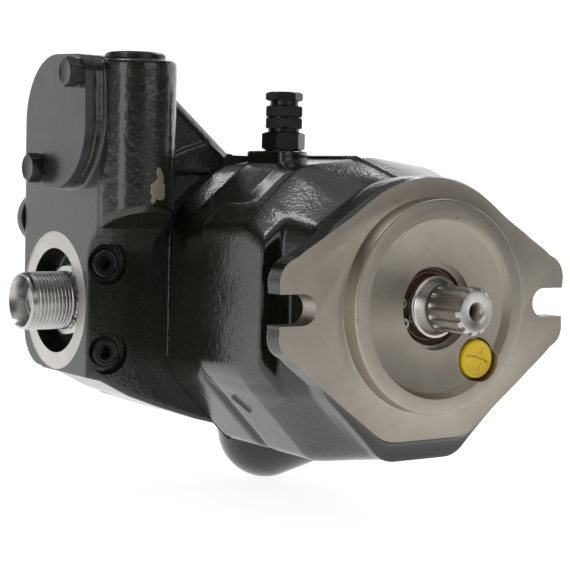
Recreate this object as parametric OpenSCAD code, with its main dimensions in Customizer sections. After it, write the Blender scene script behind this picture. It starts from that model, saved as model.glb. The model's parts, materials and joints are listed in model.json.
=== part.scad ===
// Swash-plate axial piston pump, variable displacement, two-bolt mounting flange.
// Origin: centre of the mounting flange's face. +X runs out along the shaft and is the front,
// +Z is up, and the pressure port faces -Y. All sizes in millimetres.

/* [Mounting flange] */
// Pilot spigot diameter
pilot_d = 101.6; // [90:0.1:104]
// Pilot spigot height above the flange face
pilot_h = 9.5; // [8.6:0.1:12]
// Distance between the two mounting slots
bolt_spacing = 146; // [144:0.5:150]
// Width of a mounting slot
slot_w = 14.3; // [12:0.1:16]
// Thickness of the flange ears
flange_t = 11; // [9:0.5:13]

/* [Shaft] */
// Number of spline teeth on the drive end
spline_teeth = 13; // [9:1:17]
// Outer diameter of the spline
spline_d = 22.2; // [20:0.1:24]
// Length the shaft stands out of the flange face
shaft_out = 33.3; // [30:0.5:60]

/* [Rotating group] */
// Number of pistons. The piston nodes are drawn for nine
n_pistons = 9; // [9:1:9]
// Piston diameter
piston_d = 17.5; // [14:0.1:17.8]
// Pitch circle radius of the piston bores
pitch_r = 32.5; // [32.4:0.05:32.6]
// Radial clearance of a running fit
run_gap = 0.05; // [0.02:0.01:0.08]

/* [Ports] */
// Outer diameter of the outlet nipple's thread
nipple_d = 30; // [26:0.5:33]
// Bore of the suction port
suction_d = 32; // [28:1:34]

/* [Hidden] */
NODES = ["housing", "port_block", "housing_gasket", "drive_shaft", "shaft_seal",
"seal_retaining_ring", "front_bearing_inner_race", "front_bearing_outer_race",
"front_bearing_rollers", "front_bearing_cage", "rear_bearing_inner_race",
"rear_bearing_outer_race", "rear_bearing_rollers", "rear_bearing_cage", "cylinder_barrel",
"piston_1", "piston_2", "piston_3", "piston_4", "piston_5", "piston_6", "piston_7", "piston_8",
"piston_9", "slipper_1", "slipper_2", "slipper_3", "slipper_4", "slipper_5", "slipper_6",
"slipper_7", "slipper_8", "slipper_9", "retainer_plate", "retaining_ball", "barrel_spring",
"valve_plate", "valve_plate_pin", "swash_plate", "cradle_bearings", "stroking_piston",
"bias_spring_guide", "bias_spring", "valve_cover", "valve_cover_gasket", "valve_cover_bolts",
"outlet_nipple", "nipple_seal", "valve_spool", "spool_spring", "tower_plug", "oilway_plugs",
"rear_plug", "test_port_adapter", "test_port_coupling", "test_port_cap", "drain_plug",
"port_block_screws"];
node = "all";
$fn = 64;
overcut = 0.01;

// Stations along X
joint_x = -125;           // joint between housing and port block
gasket_t = 0.8;
block_x = joint_x - gasket_t;  // front face of the port block
end_x = -200;             // rear face of the port block
tilt_x = -60;             // tilt axis of the swash plate, through the piston ball centres
run_x = tilt_x + 8.1;     // running face of the swash plate
barrel_front = tilt_x - 16;
barrel_rear = -121;

// Places shared by several pieces
screw_y = [-50, 50];      // port block screws
screw_z = [-39, 39];
port_x = -163;            // both ports
port_z = -7;              // pressure port
port_bore = 9.5;
port_thread_r = 13.5;
face_y = -116;            // flat pressure-side face of the port block
pad_y = face_y - 4.8;     // outer face of the raised pad under the valve cover
cover_x = -144.5;
cover_z = 84.3;
cover_bolts = [[-119.5, 107.5], [-160, 61]];   // X, Z
tower_x = -115.4;
tower_y = -97;
tower_r = 20.4;
tower_top = 115;
spool_r = 7;
spool_top = 88;
tower_plug_r = 10.5;
tower_plug_z = 104;       // lower end of the tower plug
oilways = [[-105, 14], [-104, -31]];           // Y, Z
plug_y = -102.5;          // rear plug
plug_z = 34.5;
plug_r = 10;
test_x = -97;             // test port
test_y = -20;
drain_y = 24.8;
drain_z = -25.6;
front_journal_r = 15;
rear_journal_r = 10;
cradle_r = 30;
saddle_r = 32;
cradle_y = 31;            // middle of each cradle, either side of the shaft
stroke_z = -60;           // stroking piston
stroke_r = 8;
bias_z = 56;              // bias spring
pin_z = 38;               // valve plate pin
pin_r = 2;

// Colours shared by several nodes
inner_race_grey = [0.70, 0.70, 0.70];
outer_race_grey = [0.66, 0.66, 0.66];
roller_grey = [0.78, 0.78, 0.78];
cage_brass = [0.72, 0.55, 0.25];
spring_grey = [0.40, 0.40, 0.42];

// ---------- shape helpers ----------
// Cylinders and cone frustums along each axis, placed by their two ends
module xcyl(from, to, radius, y = 0, z = 0, fn = 64)
    translate([from, y, z]) rotate([0, 90, 0]) cylinder(h = to - from, r = radius, $fn = fn);
module ycyl(from, to, radius, x, z, fn = 64)
    translate([x, from, z]) rotate([-90, 0, 0]) cylinder(h = to - from, r = radius, $fn = fn);
module zcyl(from, to, radius, x, y, fn = 64)
    translate([x, y, from]) cylinder(h = to - from, r = radius, $fn = fn);
module xcone(from, to, start_r, end_r)
    translate([from, 0, 0]) rotate([0, 90, 0]) cylinder(h = to - from, r1 = start_r, r2 = end_r);
module ycone(from, to, start_r, end_r, x, z)
    translate([x, from, z]) rotate([-90, 0, 0]) cylinder(h = to - from, r1 = start_r, r2 = end_r);
module ball(centre, radius, fn = 48) translate(centre) sphere(r = radius, $fn = fn);
// Box between two opposite corners
module box(low, high) translate(low) cube(high - low);
// Box drawn for the +Y side (side = 1) and moved across for the -Y side (side = -1)
module side_box(side, low, high) box(
    [low.x, min(side * low.y, side * high.y), low.z],
    [high.x, max(side * low.y, side * high.y), high.z]);
// Prism of a (Y, Z) outline along X
module xprism(from, to, outline)
    translate([from, 0, 0]) rotate([90, 0, 90]) linear_extrude(to - from) polygon(outline);
// Prism of an (X, Z) outline along Y
module yprism(from, to, outline)
    translate([0, to, 0]) rotate([90, 0, 0]) linear_extrude(to - from) polygon(outline);
module ring(from, to, inner_r, outer_r) difference() {
    xcyl(from, to, outer_r);
    xcyl(from - 1, to + 1, inner_r);
}
// Coil spring along X as a stack of round-wire turns
module coil(from, to, coil_r, wire_r, turns) for (i = [0 : turns - 1])
    translate([from + wire_r + i * (to - from - 2 * wire_r) / (turns - 1), 0, 0])
        rotate([0, 90, 0]) rotate_extrude() translate([coil_r, 0]) circle(r = wire_r, $fn = 24);

// Cylinders on the axes that several pieces share
module tower_cyl(from, to, radius, fn = 64) zcyl(from, to, radius, tower_x, tower_y, fn);
module test_cyl(from, to, radius, fn = 64) zcyl(from, to, radius, test_x, test_y, fn);
module port_cyl(from, to, radius, fn = 64) ycyl(from, to, radius, port_x, port_z, fn);
module drain_cyl(from, to, radius) xcyl(from, to, radius, drain_y, drain_z);

// Closes the +Y half of an outline, listed top to bottom, with its mirror image
function both_sides(half) =
    concat(half, [for (i = [len(half) - 1 : -1 : 0]) [-half[i].x, half[i].y]]);

// ---------- housing ----------
// Outlines as Y, Z
body_outline = both_sides([[36, 70], [70, 40.5], [70, -40], [32, -80]]);
neck_outline = both_sides([[22, 58.5], [58, 34], [58, -38], [22, -74]]);
ear_y = bolt_spacing / 2 + 1.5;
flange_outline = both_sides([[24, 55.5], [ear_y + 6, 22.4], [ear_y + 12, 12],
    [ear_y + 12, -13], [ear_y + 7.8, -21], [24, -64.5]]);
neck_end = -49.5;         // where the neck reaches the full body
spigot_chamfer = 0.9;
chamber_r = 50;

module flange_body() intersection() {
    union() {
        xcyl(-flange_t, 0, 61);
        xprism(-flange_t, 0, flange_outline);
        for (side = [-1, 1]) {
            xcyl(-flange_t, 0, 12, side * ear_y, 12);
            xcyl(-flange_t, 0, 10.5, side * (ear_y + 1.5), -12.5);
        }
    }
    box([-flange_t - 1, -100, -64.5], [1, 100, 70]);
}

// Rounded underside shared by the two castings
module belly() hull() {
    ball([-160, 15.3, -82.6], 26.8);
    ball([-133.5, 35.9, -68.7], 25.5);
    ball([-146, 26, -50], 20, 32);
}

module housing_solid() {
    flange_body();
    // pilot spigot with a chamfered edge
    xcyl(-1, pilot_h - spigot_chamfer, pilot_d / 2);
    xcone(pilot_h - spigot_chamfer, pilot_h, pilot_d / 2, pilot_d / 2 - spigot_chamfer);
    // neck that spreads from the flange to the body
    hull() {
        xprism(-flange_t - 0.5, -flange_t, neck_outline);
        xprism(neck_end - 0.5, neck_end, body_outline);
    }
    xprism(joint_x, neck_end, body_outline);
    // side pads, stopping short of the ears to leave room for the mounting bolts
    for (side = [-1, 1]) xprism(-92, -31, [[side * 60, -48], [side * 72, -40],
        [side * 75, -34], [side * 75, 36], [side * 72, 42], [side * 60, 48.6]]);
    // round pad for the test port
    intersection() {
        zcyl(66, 72.5, 17.5, -100, -24);
        box([-120, -35, 60], [-80, 0, 80]);
    }
    // front end of the rounded underside
    intersection() {
        belly();
        box([joint_x, -60, -120], [-90, 90, 0]);
    }
}

module housing() color([0.10, 0.10, 0.10]) difference() {
    housing_solid();
    for (side = [-1, 1]) {
        // mounting slot, open at the end
        xcyl(-flange_t - 1, 1, slot_w / 2, side * bolt_spacing / 2, 0);
        side_box(side, [-flange_t - 1, bolt_spacing / 2, -slot_w / 2], [1, 110, slot_w / 2]);
        // room behind the ear for the bolt head
        side_box(side, [-31, 59, -17], [-flange_t, 110, 17]);
    }
    // shallow dished face of the spigot
    xcone(5.5, pilot_h + overcut, 40.9, 43.2);
    // seal bore, snap ring groove, bearing bore
    xcyl(-7.5, 6, 20.5);
    xcyl(0, 1.7, 21.7);
    xcyl(-25, -7.5, 31);
    // opening behind the bearing and the rotating group's chamber
    xcyl(-48, -24, 20.5);
    xcyl(joint_x - 1, -46, chamber_r);
    // saddles for the cradle shells, and room for the plate to swing
    ycyl(-42.5, 42.5, saddle_r, tilt_x, 0);
    for (side = [-1, 1]) box([-47, -46.5, side * 35 - 13], [-31, 46.5, side * 35 + 13]);
    box([-47, -46.5, -24], [-42.5, 46.5, 24]);
    // room for the plate's upper arm, in three steps, and its lower arm
    box([-72, -11, 44], [-44, 11, 62.8]);
    box([-45, -11, 44], [-35.5, 11, 61.6]);
    box([-36, -11, 44], [-27, 11, 59]);
    box([-80, -11, -71.5], [-42, 11, -44]);
    // stroking piston bore and bias spring bore
    xcyl(-112, -77, stroke_r + run_gap, 0, stroke_z);
    xcyl(-115, -52, 7.6, 0, bias_z);
    // test port, drilled through to the chamber
    test_cyl(42, 80, 6.55);
    // drain port in the spigot face, opening into the bearing bore
    drain_cyl(1.5, pilot_h + 1, 10.6);
    drain_cyl(-9, 2, 8);
    // holes for the port block screws
    for (y = screw_y, z = screw_z) xcyl(joint_x - 1, joint_x + 24, 5.1, y, z);
}

// ---------- port block ----------
// Y, Z
block_outline = [[-116, -41.5], [-116, 115], [-84, 115], [-31, 70], [36, 70], [70, 40.5],
    [70, -40], [34, -78], [-14, -78], [-50, -68.5], [-74, -60.5], [-91, -54], [-107, -45.5]];
// X, Z
cove_outline = [[-130, 10], [-125.7, 14], [-124.5, 20], [-121.7, 26], [-115, 32],
    [-107.5, 36], [-100, 39.3], [-95, 41.5], [-95, 46], [-130, 46]];
suction_bolts = [30.2, 58.7];   // X and Z spacing of the suction flange holes

// Round front of the tower with a straight part back into the block
module tower_column(bottom, box_top, round_top) {
    tower_cyl(bottom, round_top, tower_r);
    box([-131, face_y, bottom], [tower_x, -78, box_top]);
}

module block_solid() {
    difference() {
        xprism(end_x, block_x, block_outline);
        // rounded rear lower corner
        difference() {
            box([end_x - 1, -120, -50], [-180, -70, -22]);
            ycyl(-120, -70, 22, -178, -21);
        }
    }
    // tower of the control valve, standing forward of the joint
    intersection() {
        tower_column(45, tower_top, tower_top);
        box([-150, face_y, 30], [-80, -70, 116]);
    }
    // cove under the tower
    intersection() {
        yprism(face_y, -76, cove_outline);
        tower_column(8, 47, 47);
    }
    // suction chamber hanging below
    intersection() {
        belly();
        box([-210, -60, -120], [block_x, 90, 0]);
    }
    // suction boss
    ycyl(60, 85, 32, port_x, 0);
    box([port_x - 24, 60, -39], [port_x + 24, 85, 39]);
    // raised pad under the valve cover
    cover_shape(pad_y, face_y + 6);
}

module port_block() color([0.09, 0.09, 0.10]) difference() {
    block_solid();
    // control valve bore and its plug
    tower_cyl(51.95, 116, spool_r + run_gap);
    tower_cyl(tower_plug_z, 116, tower_plug_r);
    tower_cyl(tower_top, 118, 15.1);
    // valve chamber behind the cover, and its bolts
    ycyl(pad_y - 1, -94, 18, cover_x, cover_z);
    for (bolt = cover_bolts) ycyl(pad_y - 1, face_y + 5.5, 4, bolt[0], bolt[1]);
    // oilway from the control valve to the chamber
    xcyl(-160, -115, 2.5, tower_y, 80);
    // pressure port: spot face, counterbore, thread, gallery
    difference() {
        port_cyl(face_y - 1, face_y + 0.5, 35.6);
        port_cyl(face_y - 2, face_y + 1, 27);
    }
    port_cyl(face_y - 1, -102, 27);
    port_cyl(-103, -84, port_thread_r);
    port_cyl(-86, -34, port_bore);
    port_cyl(-40, -24, port_bore);
    // pressure kidney on the -Y side, suction kidney on the +Y side
    for (side = [-1, 1]) {
        for (angle = [-24, 0, 24]) rotate([angle, 0, 0])
            xcyl(-160, joint_x, 4.2, side * 31, 0, 32);
        side_box(side, [-160, 25, -13], [-151, 33, 13]);
    }
    // suction port and its flange holes
    ycyl(24, 86, suction_d / 2, port_x, 0);
    for (x = [-1, 1], z = [-1, 1])
        ycyl(64, 86, 4.25, port_x + x * suction_bolts[0] / 2, z * suction_bolts[1] / 2);
    // rear bearing
    xcyl(-142, joint_x, 22);
    xcyl(-146, -141, 13);
    // valve plate locating pin
    xcyl(-131, joint_x, pin_r + 0.02, 0, pin_z);
    // sealed oilways on the shoulder
    for (hole = oilways) {
        xcyl(joint_x - 5.6, joint_x, 10.5, hole[0], hole[1]);
        xcyl(joint_x - 20, joint_x - 3, 4, hole[0], hole[1]);
    }
    xcyl(end_x - 1, -190, plug_r, plug_y, plug_z);
    // above the ports the block narrows to the outline of the cover
    difference() {
        box([end_x - 1, -122, 57], [cover_x, 100, 117]);
        cover_shape(-123, 101);
    }
    // through holes and counterbores for the four screws
    for (y = screw_y, z = screw_z) {
        xcyl(end_x - 1, joint_x, 6.5, y, z);
        xcyl(end_x - 1, end_x + 13, 9.5, y, z);
    }
}

module housing_gasket() color([0.25, 0.24, 0.22]) difference() {
    xprism(block_x, joint_x, body_outline);
    xcyl(joint_x - 2, joint_x + 1, chamber_r);
    for (y = screw_y, z = screw_z) xcyl(joint_x - 2, joint_x + 1, 6.5, y, z);
}

// ---------- shaft and seal ----------
shaft_tip = shaft_out - 1.2;    // start of the end chamfer
// From X, to X, radius
shaft_steps = [
    [10, shaft_tip, spline_d / 2],
    [-7, 5, front_journal_r - 0.1],
    [-27, -7, front_journal_r],
    [-30, -27, 17.5],
    [-46, -30, 15],
    [-126, -46, 12.4],
    [-141, -126, rear_journal_r]];
spline_gap = [[-0.85, 9.55], [0.85, 9.55], [1.75, 12.2], [-1.75, 12.2]];   // Y, Z

module drive_shaft() color([0.72, 0.71, 0.69]) difference() {
    union() {
        xcone(shaft_tip, shaft_out, spline_d / 2, spline_d / 2 - 1.2);
        xcone(5, 10, 13.5, spline_d / 2);
        for (step = shaft_steps) xcyl(step[0], step[1], step[2]);
    }
    for (i = [0 : spline_teeth - 1]) rotate([i * 360 / spline_teeth, 0, 0])
        xprism(11, shaft_out + 1, spline_gap);
    // centre hole with a countersink
    xcyl(shaft_out - 22, shaft_out + 1, 3.4);
    xcone(shaft_tip, shaft_out + overcut, 3.4, 4.7);
}

module shaft_seal() color([0.34, 0.17, 0.08]) difference() {
    xcyl(-7, -0.2, 20.48);
    // lip clears the shaft; the ring is hollow towards the bearing
    xcyl(-8, 0, front_journal_r + 0.05);
    xcyl(-8, -2.4, 18.6);
    // groove in the front face
    difference() {
        xcyl(-1.1, 0, 19.2);
        xcyl(-1.2, 0.1, 16.6);
    }
}

snap_gap_angle = 100;
lug_angles = [snap_gap_angle - 16, snap_gap_angle + 16];
module seal_retaining_ring() color([0.45, 0.44, 0.42]) difference() {
    union() {
        difference() {
            xcyl(0.1, 1.6, 21.6);
            xcyl(-1, 3, 18.6);
        }
        for (angle = lug_angles) rotate([angle, 0, 0]) xcyl(0.1, 1.6, 2.4, 0, 17.6, 32);
    }
    rotate([snap_gap_angle, 0, 0]) box([-1, -2.6, 12], [3, 2.6, 24]);
    for (angle = lug_angles) rotate([angle, 0, 0]) xcyl(-1, 3, 1.1, 0, 17.2, 32);
}

// ---------- bearings ----------
// Roller radius, pitch radius, number of rollers
front_rollers = [4.5, 23.3, 13];
rear_rollers = [3, 16.5, 12];

module roller_set(from, to, set, gap = 0) for (i = [0 : set[2] - 1])
    rotate([i * 360 / set[2], 0, 0]) xcyl(from, to, set[0] + gap, 0, set[1], 32);
module cage(from, to, thickness, set) difference() {
    ring(from, to, set[1] - thickness / 2, set[1] + thickness / 2);
    roller_set(from + 1.6, to - 1.6, set, 0.15);
}

module front_bearing_inner_race() color(inner_race_grey) ring(-24, -9, front_journal_r, 18.7);
module front_bearing_outer_race() color(outer_race_grey) ring(-24, -8.5, 27.9, 30.98);
module front_bearing_rollers() color(roller_grey) roller_set(-22, -11, front_rollers);
module front_bearing_cage() color(cage_brass) cage(-23.8, -9.2, 2.4, front_rollers);
module rear_bearing_inner_race() color(inner_race_grey) ring(-140.5, -127, rear_journal_r, 13.4);
module rear_bearing_outer_race() color(outer_race_grey) ring(-141, -127, 19.6, 21.98);
module rear_bearing_rollers() color(roller_grey) roller_set(-139, -129, rear_rollers);
module rear_bearing_cage() color(cage_brass) cage(-140.8, -127.2, 2, rear_rollers);

// ---------- rotating group ----------
piston_ball_r = 5.5;
retaining_r = 16.5;

// Moves a piece drawn on the shaft axis to bore i
module at_bore(i) rotate([i * 360 / n_pistons, 0, 0]) translate([0, 0, pitch_r]) children();

module cylinder_barrel() color([0.62, 0.58, 0.50]) difference() {
    xcyl(barrel_rear, barrel_front, 46);
    xcyl(barrel_rear - 1, barrel_front + 1, 13);
    // spring pocket
    xcyl(-104, barrel_front + 1, 18.5);
    for (i = [0 : n_pistons - 1]) at_bore(i) {
        xcyl(-115, barrel_front + 1, piston_d / 2 + run_gap * 0.6);
        xcyl(barrel_rear - 1, -114, 4.5, 0, -1.5, 32);
    }
}

module piston(i) color([0.74, 0.74, 0.73]) at_bore(i) difference() {
    union() {
        ball([tilt_x, 0, 0], piston_ball_r);
        xcyl(tilt_x - 10, tilt_x - 3, 3.6);
        xcyl(tilt_x - 45, tilt_x - 9, piston_d / 2);
    }
    // hollow body and the fine hole through the ball
    xcyl(tilt_x - 46, tilt_x - 19, 5.2);
    xcyl(tilt_x - 20, tilt_x + 6, 0.8, 0, 0, 24);
}

module slipper(i) color([0.72, 0.56, 0.27]) at_bore(i) difference() {
    union() {
        xcyl(tilt_x + 5, run_x - 0.1, 10.8);
        xcyl(tilt_x - 3, tilt_x + 5, 7.2);
    }
    ball([tilt_x, 0, 0], piston_ball_r + 0.06);
    xcyl(tilt_x + 3, tilt_x + 9, 1, 0, 0, 24);
    // shallow pocket in the running face
    xcyl(run_x - 0.8, tilt_x + 9, 6.5);
}

module retainer_plate() color([0.60, 0.60, 0.60]) difference() {
    xcyl(tilt_x + 1.3, tilt_x + 4.85, 43.8);
    ball([tilt_x, 0, 0], retaining_r + 0.1, 64);
    for (i = [0 : n_pistons - 1]) at_bore(i) xcyl(tilt_x, tilt_x + 6, 8.8);
}

module retaining_ball() color([0.55, 0.53, 0.50]) difference() {
    union() {
        intersection() {
            ball([tilt_x, 0, 0], retaining_r, 64);
            xcyl(tilt_x - 8, tilt_x + 7, 20);
        }
        xcyl(-79, tilt_x - 7, 16.2);
    }
    xcyl(-80, tilt_x + 8, 13);
}

module barrel_spring() color([0.35, 0.35, 0.37]) coil(-103.8, -79.2, 15.6, 1.4, 5);

module valve_plate() color([0.76, 0.62, 0.34]) difference() {
    xcyl(block_x, barrel_rear - 0.04, 44);
    xcyl(joint_x - 2, barrel_rear + 1, 18);
    // one curved slot on each side
    for (side = [-1, 1]) intersection() {
        ring(joint_x - 2, barrel_rear + 1, pitch_r - 5.7, pitch_r + 2.7);
        xprism(joint_x - 3, barrel_rear + 2, [[0, 0], [side * 70, -34], [side * 70, 34]]);
    }
    xcyl(joint_x - 2, barrel_rear + 1, pin_r + 0.02, 0, pin_z);
}
module valve_plate_pin() color([0.7, 0.7, 0.7]) xcyl(-130.5, barrel_rear - 0.5, pin_r, 0, pin_z);

// ---------- swash plate and its control ----------
plate_front = tilt_x + 14;

module swash_plate() color([0.56, 0.57, 0.58]) difference() {
    union() {
        xcyl(run_x, plate_front, 44);
        // lower and upper arms
        box([run_x, -9, -66.5], [plate_front, 9, -30]);
        box([run_x, -9, 30], [plate_front, 9, 61]);
        // rockers that sit in the cradle shells
        intersection() {
            for (side = [-1, 1])
                ycyl(side * cradle_y - 10.3, side * cradle_y + 10.3, cradle_r, tilt_x, 0);
            box([tilt_x + 13, -50, -40], [tilt_x + 40, 50, 40]);
        }
    }
    xcyl(tilt_x, tilt_x + 20, 20.5);
}

module cradle_bearings() color([0.70, 0.58, 0.36]) for (side = [-1, 1]) intersection() {
    difference() {
        ycyl(side * cradle_y - 10.2, side * cradle_y + 10.2, saddle_r - 0.03, tilt_x, 0);
        ycyl(side * cradle_y - 11, side * cradle_y + 11, cradle_r + run_gap, tilt_x, 0);
    }
    box([tilt_x + 17, -50, -21.5], [tilt_x + 40, 50, 21.5]);
}

module stroking_piston() color([0.68, 0.68, 0.70]) {
    ball([tilt_x + 3, 0, stroke_z], 5);
    xcyl(-80, tilt_x + 3, 4.9, 0, stroke_z);
    xcyl(-93, -80, stroke_r, 0, stroke_z);
}

module bias_spring_guide() color([0.60, 0.60, 0.62]) {
    ball([tilt_x + 3, 0, bias_z], 5);
    xcyl(-73, tilt_x + 3, 4.6, 0, bias_z);
    xcyl(-76, -73, 7.2, 0, bias_z);
    xcyl(-90, -76, 3, 0, bias_z);
}
module bias_spring() color(spring_grey) translate([0, 0, bias_z]) coil(-115, -76, 5.3, 1.1, 9);

// ---------- control valve ----------
module valve_spool() color([0.75, 0.75, 0.77]) difference() {
    tower_cyl(52, spool_top, spool_r);
    // two grooves
    for (z = [60, 74]) difference() {
        tower_cyl(z, z + 6, 8);
        tower_cyl(z - 1, z + 7, 4.6);
    }
}

// Coil turned to stand along Z
module spool_spring() color(spring_grey) translate([tower_x, tower_y, 0]) rotate([0, -90, 0])
    coil(spool_top + 0.02, tower_plug_z - 0.02, 4.9, 0.9, 6);

module tower_plug() color([0.07, 0.07, 0.07]) difference() {
    union() {
        tower_cyl(tower_plug_z, tower_top, tower_plug_r);
        tower_cyl(tower_top, 118.5, 15);
    }
    tower_cyl(115.5, 119, 5, 6);
}

// ---------- valve cover ----------
// Large disc with two smaller lobes at opposite corners
module cover_shape(from, to, grow = 0) hull() {
    ycyl(from, to, 33.3 + grow, cover_x, cover_z, 48);
    ycyl(from, to, 11 + grow, cover_x + 21.5, cover_z + 21.5, 32);
    ycyl(from, to, 12 + grow, cover_x - 21.5, cover_z - 20.5, 32);
}
module cover_bolt_holes() for (bolt = cover_bolts)
    ycyl(pad_y - 9, pad_y + 1, 4.4, bolt[0], bolt[1]);

module valve_cover() color([0.10, 0.10, 0.11]) difference() {
    cover_shape(pad_y - 5.2, pad_y - 1);
    cover_bolt_holes();
}
module valve_cover_gasket() color([0.15, 0.15, 0.15]) difference() {
    cover_shape(pad_y - 1, pad_y, -0.6);
    ycyl(pad_y - 3, pad_y + 1, 18.5, cover_x, cover_z);
    cover_bolt_holes();
}
module valve_cover_bolts() color([0.12, 0.12, 0.12]) for (bolt = cover_bolts) {
    ycyl(pad_y - 12.7, pad_y - 5.2, 7.5, bolt[0], bolt[1], 6);
    ycyl(pad_y - 5.2, face_y + 5, 4, bolt[0], bolt[1]);
}

// ---------- ports and fittings ----------
module outlet_nipple() color([0.72, 0.71, 0.68]) difference() {
    union() {
        port_cyl(-135, -110, nipple_d / 2);
        port_cyl(-110, -102.6, 20.7, 6);
        port_cyl(-102.6, -85, port_thread_r);
    }
    port_cyl(-136, -84, port_bore);
    // tapered mouth
    ycone(-135 - overcut, -127, 13.4, 11.2, port_x, port_z);
    port_cyl(-127.5, -124, 11.2);
}
module nipple_seal() color([0.25, 0.16, 0.10]) difference() {
    port_cyl(-102.6, -102, 17);
    port_cyl(-103, -101, port_thread_r);
}

module oilway_plugs() color([0.14, 0.14, 0.15]) for (hole = oilways) difference() {
    union() {
        xcyl(joint_x - 5.6, joint_x - 2.9, 7.5, hole[0], hole[1]);
        xcyl(joint_x - 16, joint_x - 5.6, 4, hole[0], hole[1]);
    }
    xcyl(joint_x - 9, joint_x - 1, 3.46, hole[0], hole[1], 6);
}
module rear_plug() color([0.12, 0.12, 0.12]) difference() {
    union() {
        xcyl(end_x - 9, end_x, 13.5, plug_y, plug_z);
        xcyl(end_x, -192, plug_r, plug_y, plug_z);
    }
    xcyl(end_x - 10, end_x - 6, 5.8, plug_y, plug_z, 6);
}

module test_port_adapter() color([0.10, 0.10, 0.11]) difference() {
    union() {
        test_cyl(72.5, 82, 11.3, 6);
        test_cyl(60, 72.5, 6.5);
        test_cyl(82, 84, 8);
    }
    test_cyl(59, 85, 3);
}
module test_port_coupling() color([0.11, 0.11, 0.12]) difference() {
    union() {
        test_cyl(84, 95.5, 10.6, 6);
        test_cyl(95.5, 98, 7.2);
    }
    test_cyl(83, 99, 2);
}
module test_port_cap() color([0.10, 0.10, 0.11]) test_cyl(98, 102.5, 9.6, 6);

module drain_plug() color([0.88, 0.76, 0.08]) difference() {
    union() {
        drain_cyl(3.2, 7, 9.25);
        drain_cyl(-6, 3.2, 7.9);
    }
    // slot across the head
    translate([0, drain_y, drain_z]) rotate([74, 0, 0]) box([5.4, -1.1, -7], [8, 1.1, 7]);
}

module port_block_screws() color([0.16, 0.16, 0.16]) for (y = screw_y, z = screw_z) difference() {
    union() {
        xcyl(end_x + 1, end_x + 13, 9, y, z);
        xcyl(end_x + 13, joint_x + 20, 5, y, z);
    }
    xcyl(end_x + 0.5, end_x + 6.5, 5.8, y, z, 6);
}

// ---------- nodes ----------
function on(name) = node == "all" || node == name;

if (on("housing")) housing();
if (on("port_block")) port_block();
if (on("housing_gasket")) housing_gasket();
if (on("drive_shaft")) drive_shaft();
if (on("shaft_seal")) shaft_seal();
if (on("seal_retaining_ring")) seal_retaining_ring();
if (on("front_bearing_inner_race")) front_bearing_inner_race();
if (on("front_bearing_outer_race")) front_bearing_outer_race();
if (on("front_bearing_rollers")) front_bearing_rollers();
if (on("front_bearing_cage")) front_bearing_cage();
if (on("rear_bearing_inner_race")) rear_bearing_inner_race();
if (on("rear_bearing_outer_race")) rear_bearing_outer_race();
if (on("rear_bearing_rollers")) rear_bearing_rollers();
if (on("rear_bearing_cage")) rear_bearing_cage();
if (on("cylinder_barrel")) cylinder_barrel();
if (on("piston_1")) piston(0);
if (on("piston_2")) piston(1);
if (on("piston_3")) piston(2);
if (on("piston_4")) piston(3);
if (on("piston_5")) piston(4);
if (on("piston_6")) piston(5);
if (on("piston_7")) piston(6);
if (on("piston_8")) piston(7);
if (on("piston_9")) piston(8);
if (on("slipper_1")) slipper(0);
if (on("slipper_2")) slipper(1);
if (on("slipper_3")) slipper(2);
if (on("slipper_4")) slipper(3);
if (on("slipper_5")) slipper(4);
if (on("slipper_6")) slipper(5);
if (on("slipper_7")) slipper(6);
if (on("slipper_8")) slipper(7);
if (on("slipper_9")) slipper(8);
if (on("retainer_plate")) retainer_plate();
if (on("retaining_ball")) retaining_ball();
if (on("barrel_spring")) barrel_spring();
if (on("valve_plate")) valve_plate();
if (on("valve_plate_pin")) valve_plate_pin();
if (on("swash_plate")) swash_plate();
if (on("cradle_bearings")) cradle_bearings();
if (on("stroking_piston")) stroking_piston();
if (on("bias_spring_guide")) bias_spring_guide();
if (on("bias_spring")) bias_spring();
if (on("valve_cover")) valve_cover();
if (on("valve_cover_gasket")) valve_cover_gasket();
if (on("valve_cover_bolts")) valve_cover_bolts();
if (on("outlet_nipple")) outlet_nipple();
if (on("nipple_seal")) nipple_seal();
if (on("valve_spool")) valve_spool();
if (on("spool_spring")) spool_spring();
if (on("tower_plug")) tower_plug();
if (on("oilway_plugs")) oilway_plugs();
if (on("rear_plug")) rear_plug();
if (on("test_port_adapter")) test_port_adapter();
if (on("test_port_coupling")) test_port_coupling();
if (on("test_port_cap")) test_port_cap();
if (on("drain_plug")) drain_plug();
if (on("port_block_screws")) port_block_screws();
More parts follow.
